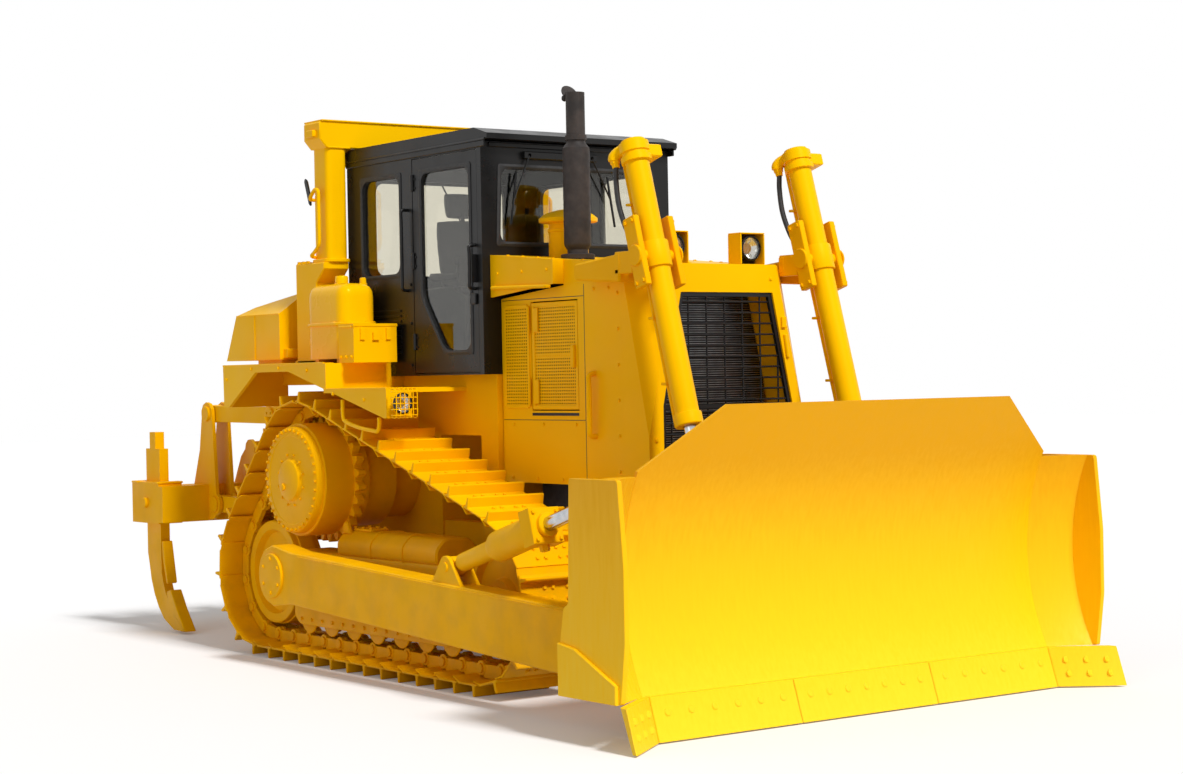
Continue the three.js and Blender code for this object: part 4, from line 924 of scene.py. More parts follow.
def lift_hose(x):
    def at(dx, station, offset):
        return np.array([x + dx, *lift_at(station, offset)])
    return tube([at(-0.070, -0.59, 0.114), at(-0.075, -0.50, 0.135), at(-0.075, -0.36, 0.150),
                 at(-0.068, -0.22, 0.135), at(-0.055, -0.12, 0.108), at(-0.04, -0.05, 0.085)], 0.016, 14, 10)


def lift_rod(x):
    run = np.array([x, *lift_at(LIFT_LENGTH)])
    shaft = turned([(-1.655, 0.033), (-1.652, 0.035), (-0.075, 0.035)], run, (0, *LIFT_D), 32)
    return [shaft], [hollow_ring((x, *LIFT_EYE), 0.080, 0.040, 0.042),
                     turned([(-0.125, 0.036), (-0.118, 0.044), (-0.07, 0.050)], run, (0, *LIFT_D), 32)]


for name, side in SIDES:
    x = side * LIFT_X
    piece(f"lift_cylinder_barrel_{name}", lift_barrel(x), yellow, f"lift_barrel_{name}",
          [f"lift_barrel_{name}"])
    piece(f"lift_cylinder_hose_{name}", [lift_hose(x)], rubber, f"lift_barrel_{name}")
    shaft, eye = lift_rod(x)
    piece(f"lift_cylinder_rod_{name}", shaft, chrome, f"lift_rod_{name}", [f"lift_rod_{name}"])
    piece(f"lift_cylinder_eye_{name}", eye, casting, f"lift_rod_{name}")


# %% Cylinder brackets
def bracket(side):
    corners = [lift_at(-0.235, -0.052), lift_at(0.190, -0.052), lift_at(0.190, 0.060), lift_at(-0.235, 0.060)]
    flange = rounded(corners, 0.012, 4)
    shapes = [plate("x", flange, side * a, side * b) for a, b in ((0.489, 0.529), (0.743, 0.783))]
    shapes += [block((side * 0.487, -3.080, 2.542), (side * 0.785, -3.036, 2.638)),
               block((side * 0.489, -3.20, 2.52), (side * 0.529, -3.04, 2.65)),
               block((side * 0.743, -3.20, 2.52), (side * 0.783, -3.04, 2.65))]
    arm = rounded([(-3.078, 2.640), (-3.078, 2.470), (-2.62, 2.500), (-2.62, 2.600)], 0.03, 5)
    shapes.append(plate("x", arm, side * 0.6203, side * 0.783, 0.012))
    for x, out in ((0.783, 1), (0.489, -1)):
        shapes.append(turned([(0, 0.062), (0.010, 0.062), (0.014, 0.058), (0.014, 0.020)],
                             (side * x, *LIFT_PIVOT), (side * out, 0, 0), 32))
        shapes.append(bolts([(side * x, *lift_at(s, o)) for s in (-0.205, 0.160) for o in (-0.030, 0.038)],
                            (side * out, 0, 0), 0.012, 0.012))
    weld = [(side * 0.70, -2.628, z) for z in np.linspace(2.505, 2.595, 8)]
    shapes.append(tube(weld, 0.006, 8, 0))
    return shapes


for name, side in SIDES:
    piece(f"trunnion_bracket_{name}", bracket(side), casting, "tractor", [f"cylinder_bracket_{name}"])
print("lift cylinders are", round(LIFT_LENGTH, 3), "m from pin to pin")

# %% [markdown]
# ## Perforated engine doors
# The engine breathes through punched steel doors. The holes could be a bump pattern, but a punched
# sheet lets dark show through it, so real holes are cut: each cell is a square with a round hole, and
# one cell's points are copied over the sheet by arrays. The dark behind the holes is painted shade: a
# thin black sheet behind each punched sheet stands in for the shaded engine bay.


# %% Punched sheet
def punched(side, x, y_span, z_span, pitch=0.020, hole=0.0062, thick=0.004):
    """Square cells with an eight-sided hole: corners at half a pitch, hole points on a circle."""
    ny, nz = (max(1, round((b - a) / pitch)) for a, b in (y_span, z_span))
    angle = np.radians(45 * np.arange(8))
    circle = np.column_stack([np.cos(angle), np.sin(angle)])
    square = np.sign(np.round(circle, 6)) * 0.5
    step = np.array([(y_span[1] - y_span[0]) / ny, (z_span[1] - z_span[0]) / nz])
    cell = np.concatenate([square * step, circle * hole])
    gy, gz = np.meshgrid(np.arange(ny), np.arange(nz), indexing="ij")
    centre = np.array([y_span[0], z_span[0]]) + (np.column_stack([gy.ravel(), gz.ravel()]) + 0.5) * step
    flat = (centre[:, None] + cell[None]).reshape(-1, 2)
    count = len(flat)
    points = np.concatenate([np.column_stack([np.full(count, x + side * t), flat]) for t in (0, thick)])
    k = np.arange(8)
    m = (k + 1) % 8
    outer_face = np.stack([k, m, m + 8, k + 8], 1)
    base = (np.arange(len(centre)) * 16)[:, None, None]
    front = (outer_face[None] + base).reshape(-1, 4)
    wall = np.stack([k + 8, m + 8, m + 8 + count, k + 8 + count], 1)[None] + base
    rims = []
    for grid, last, ks in ((gy, 0, (3, 4)), (gy, ny - 1, (7, 0)), (gz, 0, (5, 6)), (gz, nz - 1, (1, 2))):
        for start in ks:
            own = np.flatnonzero(grid.ravel() == last) * 16
            a, b = own + start, own + (start + 1) % 8
            rims.append(np.stack([b, a, a + count, b + count], 1))
    faces = np.concatenate([front[:, ::-1], front + count, wall.reshape(-1, 4), *rims])
    return outward(points, [tuple(f) for f in faces.tolist()])


def weld_points(made, distance=0.0002):
    """Merges points that coincide, so that neighbouring cells share their edges."""
    work = bmesh.new()
    work.from_mesh(made.data)
    bmesh.ops.remove_doubles(work, verts=work.verts, dist=distance)
    bmesh.ops.recalc_face_normals(work, faces=work.faces)
    work.to_mesh(made.data)
    work.free()
    return made


DOOR = {"y": (-2.425, -1.935), "z": (1.722, 2.393)}
SEAMS = (((-2.502, 1.262), (-2.497, 2.49)), ((-2.495, 1.655), (-1.61, 1.659)),
         ((-2.495, 2.415), (-1.61, 2.419)))
MESH_RIM = (((-1.655, 1.74), (-1.635, 2.375)), ((-1.915, 1.74), (-1.895, 2.375)),
            ((-1.895, 1.73), (-1.655, 1.75)), ((-1.895, 2.365), (-1.655, 2.385)))
for name, side in SIDES:
    (y0, y1), (z0, z1) = DOOR["y"], DOOR["z"]
    rim = 0.028
    weld_points(piece(f"engine_door_mesh_{name}", [punched(side, side * 0.611, (y0 + rim, y1 - rim),
                                                           (z0 + rim, z1 - rim))], yellow,
                      f"engine_door_{name}", [f"engine_door_{name}"]))
    frame_plates = [block((side * 0.602, y0, z0), (side * 0.619, y0 + rim, z1)),
                    block((side * 0.602, y1 - rim, z0), (side * 0.619, y1, z1)),
                    block((side * 0.602, y0 + rim, z0), (side * 0.619, y1 - rim, z0 + rim)),
                    block((side * 0.602, y0 + rim, z1 - rim), (side * 0.619, y1 - rim, z1)),
                    block((side * 0.604, y0 + rim, 2.04), (side * 0.613, y1 - rim, 2.075))]
    frame_plates += [block((side * 0.618, y1 - 0.075, z), (side * 0.628, y1 - 0.022, z + 0.15), 0.002)
                     for z in (1.76, 2.21)]
    frame_plates.append(plate("x", rounded(oblong(y0 + 0.02, 1.98, y0 + 0.05, 2.12), 0.01, 4), side * 0.618,
                              side * 0.640))
    piece(f"engine_door_frame_{name}", frame_plates, yellow, f"engine_door_{name}")
    # A thin black sheet just behind the punched door is painted shade, standing in for the shaded engine bay.
    piece(f"engine_door_painted_shade_sheet_{name}", [block((side * 0.6025, y0 + rim, z0 + rim),
                                                (side * 0.6045, y1 - rim, z1 - rim), 0.0005)], black,
          f"engine_door_{name}")
    weld_points(piece(f"side_panel_mesh_{name}", [punched(side, side * 0.6245, (-1.895, -1.655),
                                                          (1.75, 2.365))], yellow, "tractor"))
    # The first black block is painted shade behind the punched side panel; the others are dark seams and the
    # joint under the door.
    dark = [block((side * 0.620, -1.90, 1.745), (side * 0.622, -1.65, 2.37), 0.0005),
            block((side * 0.6195, -2.43, 1.684), (side * 0.6215, -1.93, 1.702), 0.0005)]
    dark += [block((side * 0.6195, *low), (side * 0.6208, *high), 0.0004) for low, high in SEAMS]
    piece(f"side_panel_painted_shade_and_seams_{name}", dark, black, "tractor")
    trim = [block((side * 0.620, *low), (side * 0.6295, *high), 0.002) for low, high in MESH_RIM]
    trim += [bar((side * 0.634, -1.922, z), (side * 0.634, -1.922, z + 0.17), 0.008, 20)
             for z in (1.75, 2.20)]
    trim.append(bolts([(side * 0.62, y, 1.63) for y in (-2.40, -2.05, -1.72)]
                      + [(side * 0.62, -2.84, z) for z in np.linspace(1.35, 2.42, 6)]
                      + [(side * 0.62, y, 2.455) for y in (-2.75, -2.60)]
                      + [(side * 0.62, y, 1.29) for y in np.linspace(-2.8, -1.7, 5)],
                      (side, 0, 0), 0.010, 0.009))
    grab = side * 0.668
    trim.append(tube([(side * 0.618, -2.60, 1.56), (side * 0.64, -2.60, 1.56), (grab, -2.60, 1.575),
                      (grab, -2.60, 1.62), (grab, -2.60, 1.75), (grab, -2.60, 1.88), (grab, -2.60, 1.925),
                      (side * 0.64, -2.60, 1.94), (side * 0.618, -2.60, 1.94)], 0.017, 14))
    rail = side * 0.722
    trim.append(tube([(side * 0.698, -2.25, 2.485), (side * 0.712, -2.25, 2.485), (rail, -2.235, 2.485),
                      (rail, -2.19, 2.486), (rail, -1.95, 2.492), (rail, -1.70, 2.498),
                      (rail, -1.655, 2.499), (side * 0.712, -1.64, 2.499), (side * 0.698, -1.64, 2.499)],
                     0.012, 14))
    trim.append(bolts([(side * 0.70, y, 2.59) for y in (-2.22, -1.95, -1.68)], (side, 0, 0), 0.010, 0.008))
    piece(f"hood_side_trim_{name}", trim, yellow, "tractor")
print("punched doors and panels")

# %% [markdown]
# ## Radiator guard and grille
# Steel wires keep branches out of the radiator. They are thin, so each is a bar of few sides, set
# into a flat frame that follows the guard's opening: straight up to a shoulder, then leaning in.

# %% Grille
GRILLE_Y = -3.0965


def opening(shrink):
    """The guard's opening, drawn in: its upper sides lean in from the shoulder."""
    side_points = [(0.358 - shrink, 2.417 - shrink), (0.505 - shrink, 1.740),
                   (0.505 - shrink, 1.180 + shrink)]
    return np.array(side_points + [(-x, z) for x, z in reversed(side_points)])


def half_width(z):
    """Half the opening's width at a height."""
    return 0.505 - np.clip((np.asarray(z) - 1.74) / (2.417 - 1.74), 0, 1) * 0.147


outer_rim, inner_rim = opening(0.002), opening(0.026)
rim_rings = np.array([np.column_stack([o[:, 0], np.full(6, y), o[:, 1]])
                      for o, y in ((outer_rim, -3.108), (outer_rim, -3.085), (inner_rim, -3.085),
                                   (inner_rim, -3.108))])
wires = [skin(rim_rings, closed=True)]
for z in np.linspace(1.24, 2.36, 18):
    reach = float(half_width(z)) - 0.012
    wires.append(bar((-reach, GRILLE_Y, z), (reach, GRILLE_Y, z), 0.0065, 8))
for x in np.linspace(-0.42, 0.42, 7):
    top = 2.40 if abs(x) < 0.35 else 1.74 + (0.505 - abs(x)) / 0.147 * 0.677 - 0.02
    wires.append(bar((x, GRILLE_Y + 0.010, 1.195), (x, GRILLE_Y + 0.010, top), 0.0055, 8))
wires.append(block((-0.50, GRILLE_Y - 0.006, 1.715), (0.50, GRILLE_Y + 0.006, 1.745), 0.003))
piece("radiator_guard_wires", wires, black, "tractor", ["grille"])

FIN_PITCH = 0.014
fins = [block((-0.475, -2.8925, z), (0.475, -2.8805, z + 0.004), 0.0005)
        for z in np.arange(1.20, 2.44, FIN_PITCH)]
piece("radiator_cooling_fins", fins, steel, "tractor")

guard_trim = [bolts([(s * x, -3.1205, z) for s in (-1, 1)
                     for x, z in ((0.575, 1.10), (0.575, 1.32), (0.56, 1.54), (0.30, 1.10), (0.0, 1.10))],
                    (0, -1, 0), 0.012, 0.010), bolts([(s * 0.345, -3.121, 2.50) for s in (-1, 1)],
                                                     (0, -1, 0), 0.010, 0.008),
              bar((0.47, -3.125, 2.02), (0.45, -3.125, 2.16), 0.012, 16),
              block((0.42, -3.135, 2.20), (0.455, -3.115, 2.27))]
tow_ear = rounded([(-3.17, 1.045), (-3.12, 1.045), (-3.12, 1.15), (-3.17, 1.12)], 0.015)
guard_trim += [plate("x", tow_ear, x, x + 0.03) for x in (-0.19, 0.16)]
piece("radiator_guard_fittings", guard_trim, yellow, "tractor")
cap = turned([(0, 0.05), (0.012, 0.052), (0.016, 0.045), (0.020, 0.030), (0.034, 0.028), (0.036, 0.020)],
             (0.0, -2.70, 2.605), UP, 24)
HOOD_SLOPE = 0.0899
hood_rows = ((0.55, np.linspace(-2.78, -2.40, 4)), (0.63, np.linspace(-2.2, -1.7, 4)))
hood_places = [(s * x, y, 2.597 + (y + 2.88) * HOOD_SLOPE) for x, row in hood_rows for s in (-1, 1)
               for y in row]
hood_bolts = bolts(hood_places, UP, 0.010, 0.007)
piece("hood_cap_and_bolts", [cap, hood_bolts], yellow, "tractor")
print("grille with", len(wires), "parts")

# %% [markdown]
# ## Lamps
# Each headlamp sits in an open steel box on the hood. Inside are a dished reflector and a clear lens,
# which is what makes a lamp read as a lamp from any side.


# %% Lamps
def lamp_unit(centre, out, radius):
    """Three shapes: bezel, reflector bowl and lens, each turned about the lamp's own axis."""
    start = np.asarray(centre, float)
    k = radius / 0.075
    bezel = hollow_ring(start, radius, radius * 0.86, 0.014 * k, out, 36)
    dish = [(-0.052, 0.030), (-0.050, 0.034), (-0.010, 0.064), (0.004, 0.066), (0.000, 0.062),
            (-0.030, 0.030)]
    bowl = turned(np.array(dish) * k, start, out, 36)
    lens = turned(np.array([(0.002, 0.063), (0.006, 0.063), (0.011, 0.045), (0.013, 0.015)]) * k,
                  start, out, 36)
    return bezel, bowl, lens


for name, side in SIDES:
    x0, x1 = side * 0.204, side * 0.397
    y_front, y_back, z0, z1, wall = -3.01, -2.89, 2.5883, 2.79, 0.008
    cx, cz = (x0 + x1) / 2, 2.695
    housing = [block((x0, y_front, z1 - wall), (x1, y_back, z1), 0.003),
               block((x0, y_front, z0), (x1, y_back, z0 + wall), 0.003),
               block((x0, y_front, z0 + wall), (x0 + side * wall, y_back, z1 - wall), 0.003),
               block((x1 - side * wall, y_front, z0 + wall), (x1, y_back, z1 - wall), 0.003),
               block((x0 + side * wall, y_back - wall, z0 + wall),
                     (x1 - side * wall, y_back, z1 - wall), 0.003)]
    piece(f"headlamp_housing_{name}", housing, yellow, "tractor", [f"headlamp_{name}"])
    bezel, bowl, lens = lamp_unit((cx, -2.985, cz), (0, -1, 0), 0.078)
    inner = block((x0 + side * 0.010, -2.925, 2.60), (x1 - side * 0.010, -2.900, 2.78), 0.004)
    piece(f"headlamp_bezel_{name}", [bezel, inner], black, "tractor")
    piece(f"headlamp_reflector_{name}", [bowl], silvered, "tractor")
    piece(f"headlamp_lens_{name}", [lens], lens_glass, "tractor")
    fx, fy, fz = side * 1.185, -1.292, 1.775
    bezel, bowl, lens = lamp_unit((fx, fy, fz), (0, -1, 0), 0.068)
    cage = [tube([(fx + dx, fy + 0.012, fz - 0.088), (fx + dx, fy - 0.045, fz - 0.086),
                  (fx + dx, fy - 0.050, fz), (fx + dx, fy - 0.045, fz + 0.086),
                  (fx + dx, fy + 0.012, fz + 0.088)], 0.0035, 6) for dx in np.linspace(-0.078, 0.078, 6)]
    cage += [tube([(fx - 0.080, fy + 0.012, fz + dz), (fx - 0.078, fy - 0.047, fz + dz),
                   (fx + 0.078, fy - 0.047, fz + dz), (fx + 0.080, fy + 0.012, fz + dz)], 0.0035, 6)
             for dz in np.linspace(-0.075, 0.075, 5)]
    piece(f"fender_lamp_bezel_{name}", [bezel], black, "tractor")
    piece(f"fender_lamp_reflector_{name}", [bowl], silvered, "tractor")
    piece(f"fender_lamp_lens_{name}", [lens], lens_glass, "tractor")
    piece(f"fender_lamp_cage_{name}", cage, yellow, "tractor")
print("four lamps")

# %% [markdown]
# ## Stack and precleaner
# The muffler stands in the open air, with a pipe above it and a hinged rain cap that exhaust gas
# lifts. The air intake's precleaner spins dust out, so it is a wide bowl under a dome.

# %% Stack
STACK_RADIUS = 0.110
STACK_X = middle("exhaust_stack").x
STACK_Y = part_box("exhaust_stack")[0].y + STACK_RADIUS - AXLE.y
stack_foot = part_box("exhaust_stack")[0].z
muffler = turned([(0, 0.105), (0.028, 0.108), (0.033, 0.100), (0.036, 0.066), (0.060, 0.066), (0.085, 0.083),
                  (0.10, 0.086), (0.68, 0.086), (0.70, 0.084), (0.728, 0.062), (0.735, 0.060),
                  (0.745, 0.060), (0.748, 0.068), (0.778, 0.068), (0.781, 0.060), (1.048, 0.060),
                  (1.048, 0.054), (0.85, 0.054)], (STACK_X, STACK_Y, stack_foot + 0.006), UP, 48)
hinge = np.array([STACK_X, STACK_Y + 0.058, 3.672])
tilt = math.radians(58)
normal = np.array([0, -math.sin(tilt), math.cos(tilt)])
leaf = np.array([0, -math.cos(tilt), -math.sin(tilt)])
flap_centre = hinge - leaf * 0.030 + np.array([0, -0.015, 0.012])
flap = turned([(-0.003, 0.058), (0.003, 0.060), (0.005, 0.050), (0.010, 0.012)], flap_centre, normal, 32)
parts = [muffler, flap, bar(hinge - [0.03, 0, 0], hinge + [0.03, 0, 0], 0.007, 12),
         bar(hinge, hinge + [0, 0.045, 0.012], 0.006, 10),
         turned([(-0.018, 0.006), (-0.012, 0.017), (0, 0.022), (0.012, 0.017), (0.018, 0.006)],
                hinge + [0, 0.055, 0.014], (1, 0, 0), 16)]
parts.append(bolts([(STACK_X + 0.074, STACK_Y, stack_foot + 0.769)], (1, 0, 0), 0.008, 0.010))
piece("exhaust_muffler_and_pipe", parts, sooty, "tractor", ["exhaust_stack"])
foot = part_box("precleaner")[0].z
PRECLEANER_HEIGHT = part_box("precleaner")[1].z - foot
cap_profile = [(0, 0.136), (0.016, 0.136), (0.019, 0.128), (0.17, 0.128), (0.173, 0.134), (0.19, 0.134),
               (0.193, 0.126)]
cap_profile += [(PRECLEANER_HEIGHT - below, r)
                for below, r in ((0.092, 0.124), (0.086, 0.180), (0.083, 0.189), (0.060, 0.190),
                                 (0.055, 0.184), (0.036, 0.160), (0.018, 0.118), (0.006, 0.070),
                                 (0.001, 0.030))]
piece("air_precleaner_bowl", [turned(cap_profile, (middle("precleaner").x, middle("precleaner").y - AXLE.y,
                                                   foot + 0.001), UP, 48)], yellow, "tractor",
      ["precleaner"])

# %% [markdown]
# ## Window seals
# Cab glass is held by a black rubber seal with round corners, which hides the square cut of the steel
# behind it. The seal is a closed loop of five rings: two round the outside, one on the crown and two
# round the inside. Because every rounded outline has the same number of points, the rings match.

# %% Seals
CAB = {"half": 0.76, "front": -1.60, "rear": 0.09, "floor": 1.95, "eaves": 3.44}
WINDSHIELD = [(-0.64, 2.78), (0.64, 2.78), (0.62, 3.29), (-0.62, 3.29)]
REAR_WINDOW = oblong(-0.56, 2.64, 0.56, 3.33)
QUARTER_WINDOW = oblong(-0.62, 2.62, -0.10, 3.31)
DOOR_WINDOW = [(-1.47, 2.09), (-1.14, 2.09), (-0.86, 2.46), (-0.86, 3.31), (-1.47, 3.31)]


def seal(axis, outline, face, out, corner=0.075, back=0.026):
    """A rubber loop on a wall's face: outline drawn out 10 mm, and drawn in 20 mm with round corners."""
    outer = rounded(inset(outline, -0.010), 0.025, 9)
    crown = rounded(inset(outline, 0.006), corner * 0.7, 9)
    inner = rounded(inset(outline, 0.020), corner, 9)
    rings = np.array([np.column_stack([o, np.full(len(o), face + out * h)])
                      for o, h in ((outer, -0.001), (outer, 0.004), (crown, 0.009), (inner, 0.003),
                                   (inner, -back))])
    return skin(rings[..., ORDER[axis]], closed=True)


seals = [seal("y", WINDSHIELD, CAB["front"], -1, 0.06), seal("y", REAR_WINDOW, CAB["rear"], 1)]
seals += [seal("x", QUARTER_WINDOW, side * CAB["half"], side) for _, side in SIDES]
piece("cab_window_seals", seals, rubber, "tractor")
for name, side in SIDES:
    face = side * (CAB["half"] - 0.002)
    piece(f"door_window_seal_{name}", [seal("x", DOOR_WINDOW, face, side)], rubber, f"cab_door_{name}")
    grip = side * (CAB["half"] + 0.045)
    fittings = [tube([(face, -1.515, 2.50), (grip, -1.515, 2.51), (grip, -1.515, 2.56), (grip, -1.515, 2.72),
                      (grip, -1.515, 2.77), (face, -1.515, 2.78)], 0.011, 12),
                plate("x", rounded(oblong(-1.545 + 0.012, 2.40, -1.545 + 0.062, 2.47), 0.012), face,
                      face + side * 0.018)]
    fittings += [bar((face + side * 0.004, -0.772, z), (face + side * 0.004, -0.772, z + 0.11), 0.014, 20)
                 for z in (2.12, 2.66, 3.18)]
    fittings.append(bolts([(face, -0.80, z) for z in (2.14, 2.20, 2.68, 2.74, 3.20, 3.26)], (side, 0, 0),
                          0.007, 0.006))
    piece(f"cab_door_fittings_{name}", fittings, black, f"cab_door_{name}")


# %% Wipers, roof and gutter details
def wiper(pivot, tip, blade_half):
    """A spring arm from a motor spindle, with a rubber blade across its tip."""
    pivot, tip = np.array(pivot), np.array(tip)
    direction = (tip - pivot) / np.linalg.norm(tip - pivot)
    blade_axis = np.array([direction[0] * 0.35, 0, -1.0])
    blade_axis /= np.linalg.norm(blade_axis)
    return [turned([(0, 0.020), (0.03, 0.018), (0.032, 0.012)], pivot + [0, 0.012, 0], (0, -1, 0), 20),
            bar(pivot + [0, -0.016, 0], tip, 0.006, 10), bar(tip - blade_axis * blade_half + [0, 0.006, 0],
                                                             tip + blade_axis * blade_half + [0, 0.006, 0],
                                                             0.008, 8)]


cab_trim = wiper((-0.40, -1.615, 3.36), (-0.52, -1.622, 3.08),
                 0.17) + wiper((0.10, -1.615, 3.36), (0.26, -1.622, 3.08), 0.17)
cab_trim += wiper((0.0, 0.108, 3.36), (0.22, 0.114, 3.02), 0.18)
cab_trim += [block((-0.44, -1.635, 3.335), (0.14, -1.598, 3.385), 0.006),
             block((-0.70, -1.612, 3.405), (0.70, -1.598, 3.435), 0.004)]
for _, side in SIDES:
    x = side * (CAB["half"] + 0.0005)
    cab_trim.append(block((x, -1.655, 3.402), (x + side * 0.011, 0.085, 3.442), 0.004))
    cab_trim.append(tube([(x + side * 0.012, -1.67, 3.448), (x + side * 0.012, -1.2, 3.446),
                          (x + side * 0.012, 0.085, 3.442)], 0.008, 8))
    cab_trim.append(bolts([(x, y, z) for y in (-0.73, -0.05) for z in (2.02, 2.30, 2.56)], (side, 0, 0),
                          0.009, 0.008))
    grab = x + side * 0.045
    cab_trim.append(tube([(x, -0.695, 2.52), (grab, -0.695, 2.53), (grab, -0.695, 2.58),
                          (grab, -0.695, 2.95), (grab, -0.695, 3.05), (x, -0.695, 3.06)], 0.011, 12))
    cab_trim += [block((x, -0.60, 2.10 + k * 0.035), (x + side * 0.006, -0.12, 2.118 + k * 0.035), 0.002)
                 for k in range(9)]
piece("cab_wipers_rails_and_louvres", cab_trim, black, "tractor")
print("seals and cab fittings")

# %% [markdown]
# ## The operator's seat
# A suspension seat has foam cushions under vinyl, sewn with channels. Cloth simulation could swell
# them, but the covers are taut over moulded foam, so a formula is truer here: a pillow whose height
# falls to a seam all round, with a groove pressed in along each sewn line.


# %% Cushions
def pillow(centre, u_axis, v_axis, half_u, half_v, rise, grooves=(), sides=48):
    """Height = rise * sqrt(1 - |u|^6) * sqrt(1 - |v|^6), less a narrow bell along each groove."""
    t = np.sin(np.linspace(-np.pi / 2, np.pi / 2, sides))
    u, v = np.meshgrid(t, t, indexing="ij")
    crown = np.sqrt(1 - np.abs(u) ** 6) * np.sqrt(1 - np.abs(v) ** 6)
    pressed = sum((np.exp(-((v - g) / 0.045) ** 2) for g in grooves), np.zeros_like(v))
    plan_u = half_u * u * np.sqrt(1 - 0.16 * v ** 2) * (1 - 0.03 * (1 - v ** 2) * u ** 2)
    plan_v = half_v * v * np.sqrt(1 - 0.16 * u ** 2) * (1 - 0.03 * (1 - u ** 2) * v ** 2)
    u_axis, v_axis = (np.array(a, float) / np.linalg.norm(a) for a in (u_axis, v_axis))
    normal = np.cross(u_axis, v_axis)
    flat = np.asarray(centre, float) + plan_u[..., None] * u_axis + plan_v[..., None] * v_axis
    top = flat + (crown * rise * (1 - 0.22 * pressed))[..., None] * normal
    low = flat - (crown * rise * 0.55)[..., None] * normal
    k = np.arange(sides * sides).reshape(sides, sides)
    quads = np.stack([k[:-1, :-1], k[1:, :-1], k[1:, 1:], k[:-1, 1:]], -1).reshape(-1, 4)
    faces = np.concatenate([quads, quads[:, ::-1] + sides * sides])
    return np.concatenate([top.reshape(-1, 3), low.reshape(-1, 3)]), [tuple(f) for f in faces.tolist()]


BACK_LEAN = np.array([0, 0.165, 0.986])
seat_parts = {"seat_cushion": (((0, -0.595, 2.455), (1, 0, 0), (0, 1, 0), 0.250, 0.300, 0.062),
                               (-0.35, 0.35), 0.75),
              "seat_back_cushion": (((0, -0.265, 2.775), (-1, 0, 0), BACK_LEAN, 0.238, 0.275, 0.060),
                                    (-0.45, 0.0, 0.45), 0.75),
              "seat_head_cushion": (((0, -0.185, 3.145), (-1, 0, 0), BACK_LEAN, 0.128, 0.092, 0.042),
                                    (), 0.8)}
for name, (shape, grooves, fill) in seat_parts.items():
    made = weld_points(piece(name, [pillow(*shape, grooves)], vinyl, "tractor",
                             ["operator_seat"], 60), 0.0004)
seat_frame = [block((-0.17, -0.78, 2.0095), (0.17, -0.35, 2.06), 0.012),
              block((-0.23, -0.87, 2.375), (0.23, -0.31, 2.40), 0.01),
              bar((0, -0.24, 2.98), (0, -0.205, 3.10), 0.012, 16),
              block((-0.20, -0.262, 2.42), (0.20, -0.232, 2.60), 0.01)]
seat_frame += [turned([(0, 0.16 - 0.012 * (k % 2)), (0.032, 0.145 + 0.012 * (k % 2))],
                      (0, -0.56, 2.06 + 0.0315 * k), UP, 28) for k in range(10)]
seat_frame += [plate("x", rounded([(-0.62, 2.60), (-0.30, 2.60), (-0.28, 2.66), (-0.62, 2.65)], 0.02),
                     side * 0.275, side * 0.335, 0.012) for _, side in SIDES]
piece("seat_suspension_and_armrests", seat_frame, plastic, "tractor")
print("seat cushions", list(seat_parts))

# %% [markdown]
# ## Controls
# A dozer is driven with levers. The left console carries the steering lever, the right one the blade
# and ripper levers, and a low dash faces the driver with round gauges.

# %% Console
CONSOLE_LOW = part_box("operator_console")[0].z
controls = [block((-0.56, -1.54, CONSOLE_LOW), (0.56, -0.06, CONSOLE_LOW + 0.018), 0.004),
            plate("x", rounded([(-1.53, CONSOLE_LOW + 0.02), (-1.38, CONSOLE_LOW + 0.02), (-1.40, 2.50),
                                (-1.46, 2.64), (-1.53, 2.64)], 0.025), -0.33, 0.33, 0.02)]
for _, side in SIDES:
    controls.append(plate("x", rounded([(-1.0, CONSOLE_LOW + 0.02), (-0.20, CONSOLE_LOW + 0.02),
                                        (-0.20, 2.54), (-0.80, 2.55), (-1.0, 2.48)], 0.03), side * 0.345,
                          side * 0.50, 0.012))
for x, y, lean in ((0.42, -0.90, 0.04), (-0.40, -0.92, 0.03), (-0.455, -0.86, -0.02)):
    foot = np.array([x, y, 2.52])
    head = foot + [0, -lean, 0.17]
    controls += [bar(foot, head, 0.008, 12),
                 turned([(0, 0.012), (0.012, 0.024), (0.035, 0.027), (0.055, 0.022), (0.064, 0.010)],
                        head, (0, -0.1, 1), 20),
                 turned([(0, 0.032), (0.012, 0.026), (0.026, 0.020), (0.036, 0.011)],
                        foot - [0, 0, 0.008], UP, 20)]
controls += [plate("x", rounded([(-1.36, 2.02), (-1.27, 2.02), (-1.34, 2.16), (-1.37, 2.16)], 0.01),
                   x - 0.045, x + 0.045, 0.006) for x in (-0.16, 0.16)]
piece("operator_controls", controls, plastic, "tractor", ["operator_console"])
gauges = [turned([(-0.002, 0.040), (0.006, 0.040), (0.010, 0.036), (0.010, 0.030), (0.006, 0.028)],
                 (x, -1.428, 2.565), (0, 0.9, 0.42), 28) for x in np.linspace(-0.21, 0.21, 4)]
piece("dash_gauge_rings", gauges, steel, "tractor")
print("levers, pedals and gauges")

# %% [markdown]
# ## Fenders and tanks
# The fenders carry steps, so they get raised anti-slip strips and a grab rail. The hydraulic tank is
# a drawn shell with a bolted flange, so its outline is the same at every height and only draws in at
# the domed lid.


